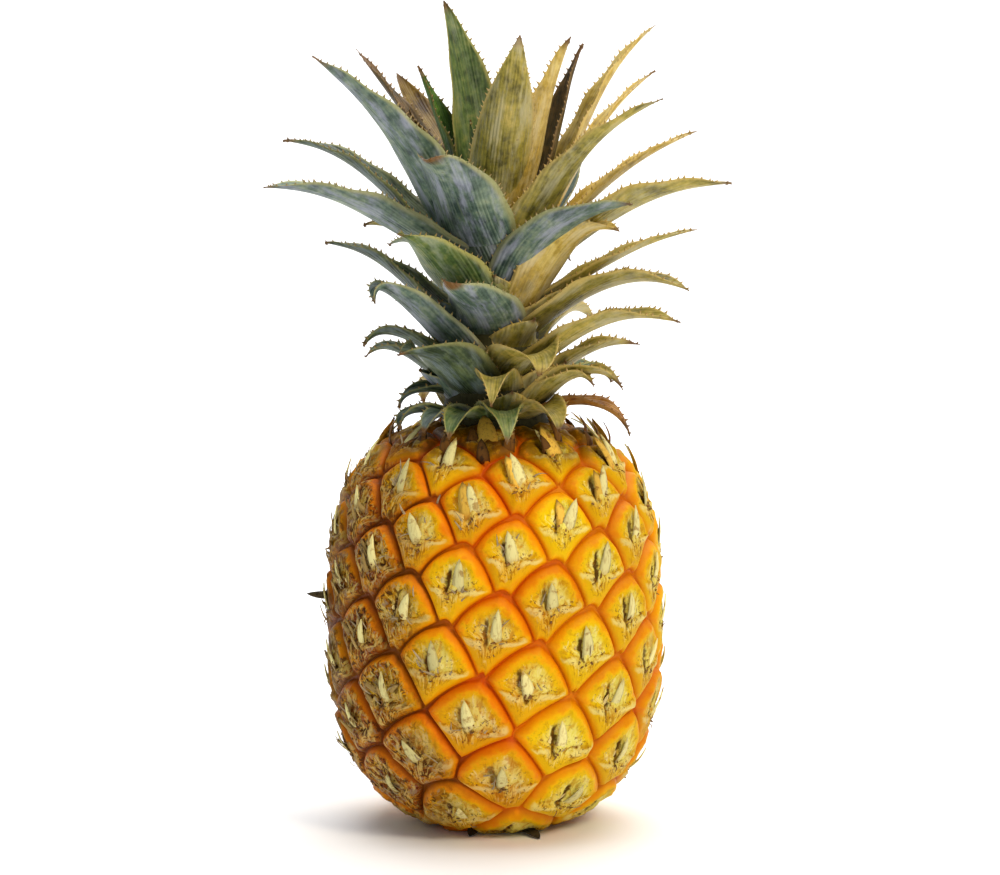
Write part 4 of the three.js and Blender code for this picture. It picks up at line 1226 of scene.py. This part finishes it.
# ------------------------------------------------------------------ floor and light
# A white studio sweep: a floor that curves up into a wall well behind the fruit.

SWEEP_REACH, WALL_HEIGHT = 3.0, 4.0
BEND_RADIUS, BEND_POINTS = 1.0, 24


def sweep_object():
    """A sheet along a profile: level, a quarter circle, then upright."""
    bend = np.radians(np.linspace(0, 90, BEND_POINTS))
    bend_y = SWEEP_REACH - BEND_RADIUS + BEND_RADIUS * np.sin(bend)
    y = np.concatenate([[-SWEEP_REACH], bend_y, [SWEEP_REACH]])
    z = np.concatenate([[0.0], BEND_RADIUS * (1 - np.cos(bend)), [WALL_HEIGHT]])
    points = np.stack([np.stack([np.full_like(y, x), y, z], -1)
                       for x in (-SWEEP_REACH, SWEEP_REACH)], 1) / MM
    index = np.arange(2 * len(y)).reshape(-1, 2)
    quads = np.stack([index[:-1, 0], index[:-1, 1], index[1:, 1], index[1:, 0]], -1)
    return mesh_object("studio_sweep", points.reshape(-1, 3), quads.tolist())


def paper_material():
    """White background paper, matt, with a faint tooth."""
    material, shader, coords = new_material("white_background_paper")
    tooth = add("TexNoise", {"Vector": coords, "Scale": 300.0, "Detail": 2.0}).outputs[0]
    connect(shader,
            {"Base Color": linear("#f6f6f6"), "Roughness": 0.9, "Specular IOR Level": 0.1,
             "Normal": add("Bump",
                           {"Strength": 0.05, "Distance": 0.0002, "Height": tooth}).outputs[0]})
    return material


studio_sweep = sweep_object()
studio_sweep.data.materials.append(paper_material())


def aim(place, target):
    """The rotation that turns -Z from place to target with +Y upwards."""
    return (Vector(target) - Vector(place)).to_track_quat("-Z", "Y").to_euler()


def area_light(name, place, target, size, power, code):
    """A square softbox at place that faces target."""
    lamp = bpy.data.lights.new(name, "AREA")
    lamp.size, lamp.energy, lamp.color = size, power, linear(code)[:3]
    made = bpy.data.objects.new(name, lamp)
    made.location = place
    made.rotation_euler = aim(place, target)
    bpy.context.scene.collection.objects.link(made)


area_light("key_softbox", place=(0.74, -0.82, 0.95), target=(0.0, 0.0, 0.14),
           size=0.35, power=9.2, code="#fff0d8")
area_light("ceiling_panel", place=(0.3, 0.6, 2.6), target=(0.3, 0.6, 0.0),
           size=3.0, power=80.0, code="#ffffff")
area_light("wall_wash", place=(0.0, 0.9, 2.2), target=(0.0, 3.0, 0.5),
           size=1.6, power=48.0, code="#ffffff")
world = bpy.data.worlds.new("studio_air")
world.use_nodes = True
air = world.node_tree.nodes["Background"]
connect(air, {"Color": linear("#eef3fa"), "Strength": 0.32})
bpy.context.scene.world = world
bpy.context.scene.view_settings.view_transform = "Standard"

# ------------------------------------------------------------------ the camera
# It stands a little above level, 1.1 m in front, and its view is 338 mm wide at the axis.

CAMERA_DISTANCE, CAMERA_RISE = 1.10, 6.0
VIEW_WIDTH, SENSOR_WIDTH = 0.338, 36.0
AIM = (0.0017, 0.0, 0.131)
camera_data = bpy.data.cameras.new("camera")
camera_data.sensor_width = SENSOR_WIDTH
camera_data.lens = SENSOR_WIDTH * CAMERA_DISTANCE / VIEW_WIDTH
camera = bpy.data.objects.new("camera", camera_data)
rise = math.radians(CAMERA_RISE)
camera.location = (AIM[0], AIM[1] - CAMERA_DISTANCE * math.cos(rise),
                   AIM[2] + CAMERA_DISTANCE * math.sin(rise))
camera.rotation_euler = aim(camera.location, AIM)
bpy.context.scene.collection.objects.link(camera)
bpy.context.scene.camera = camera
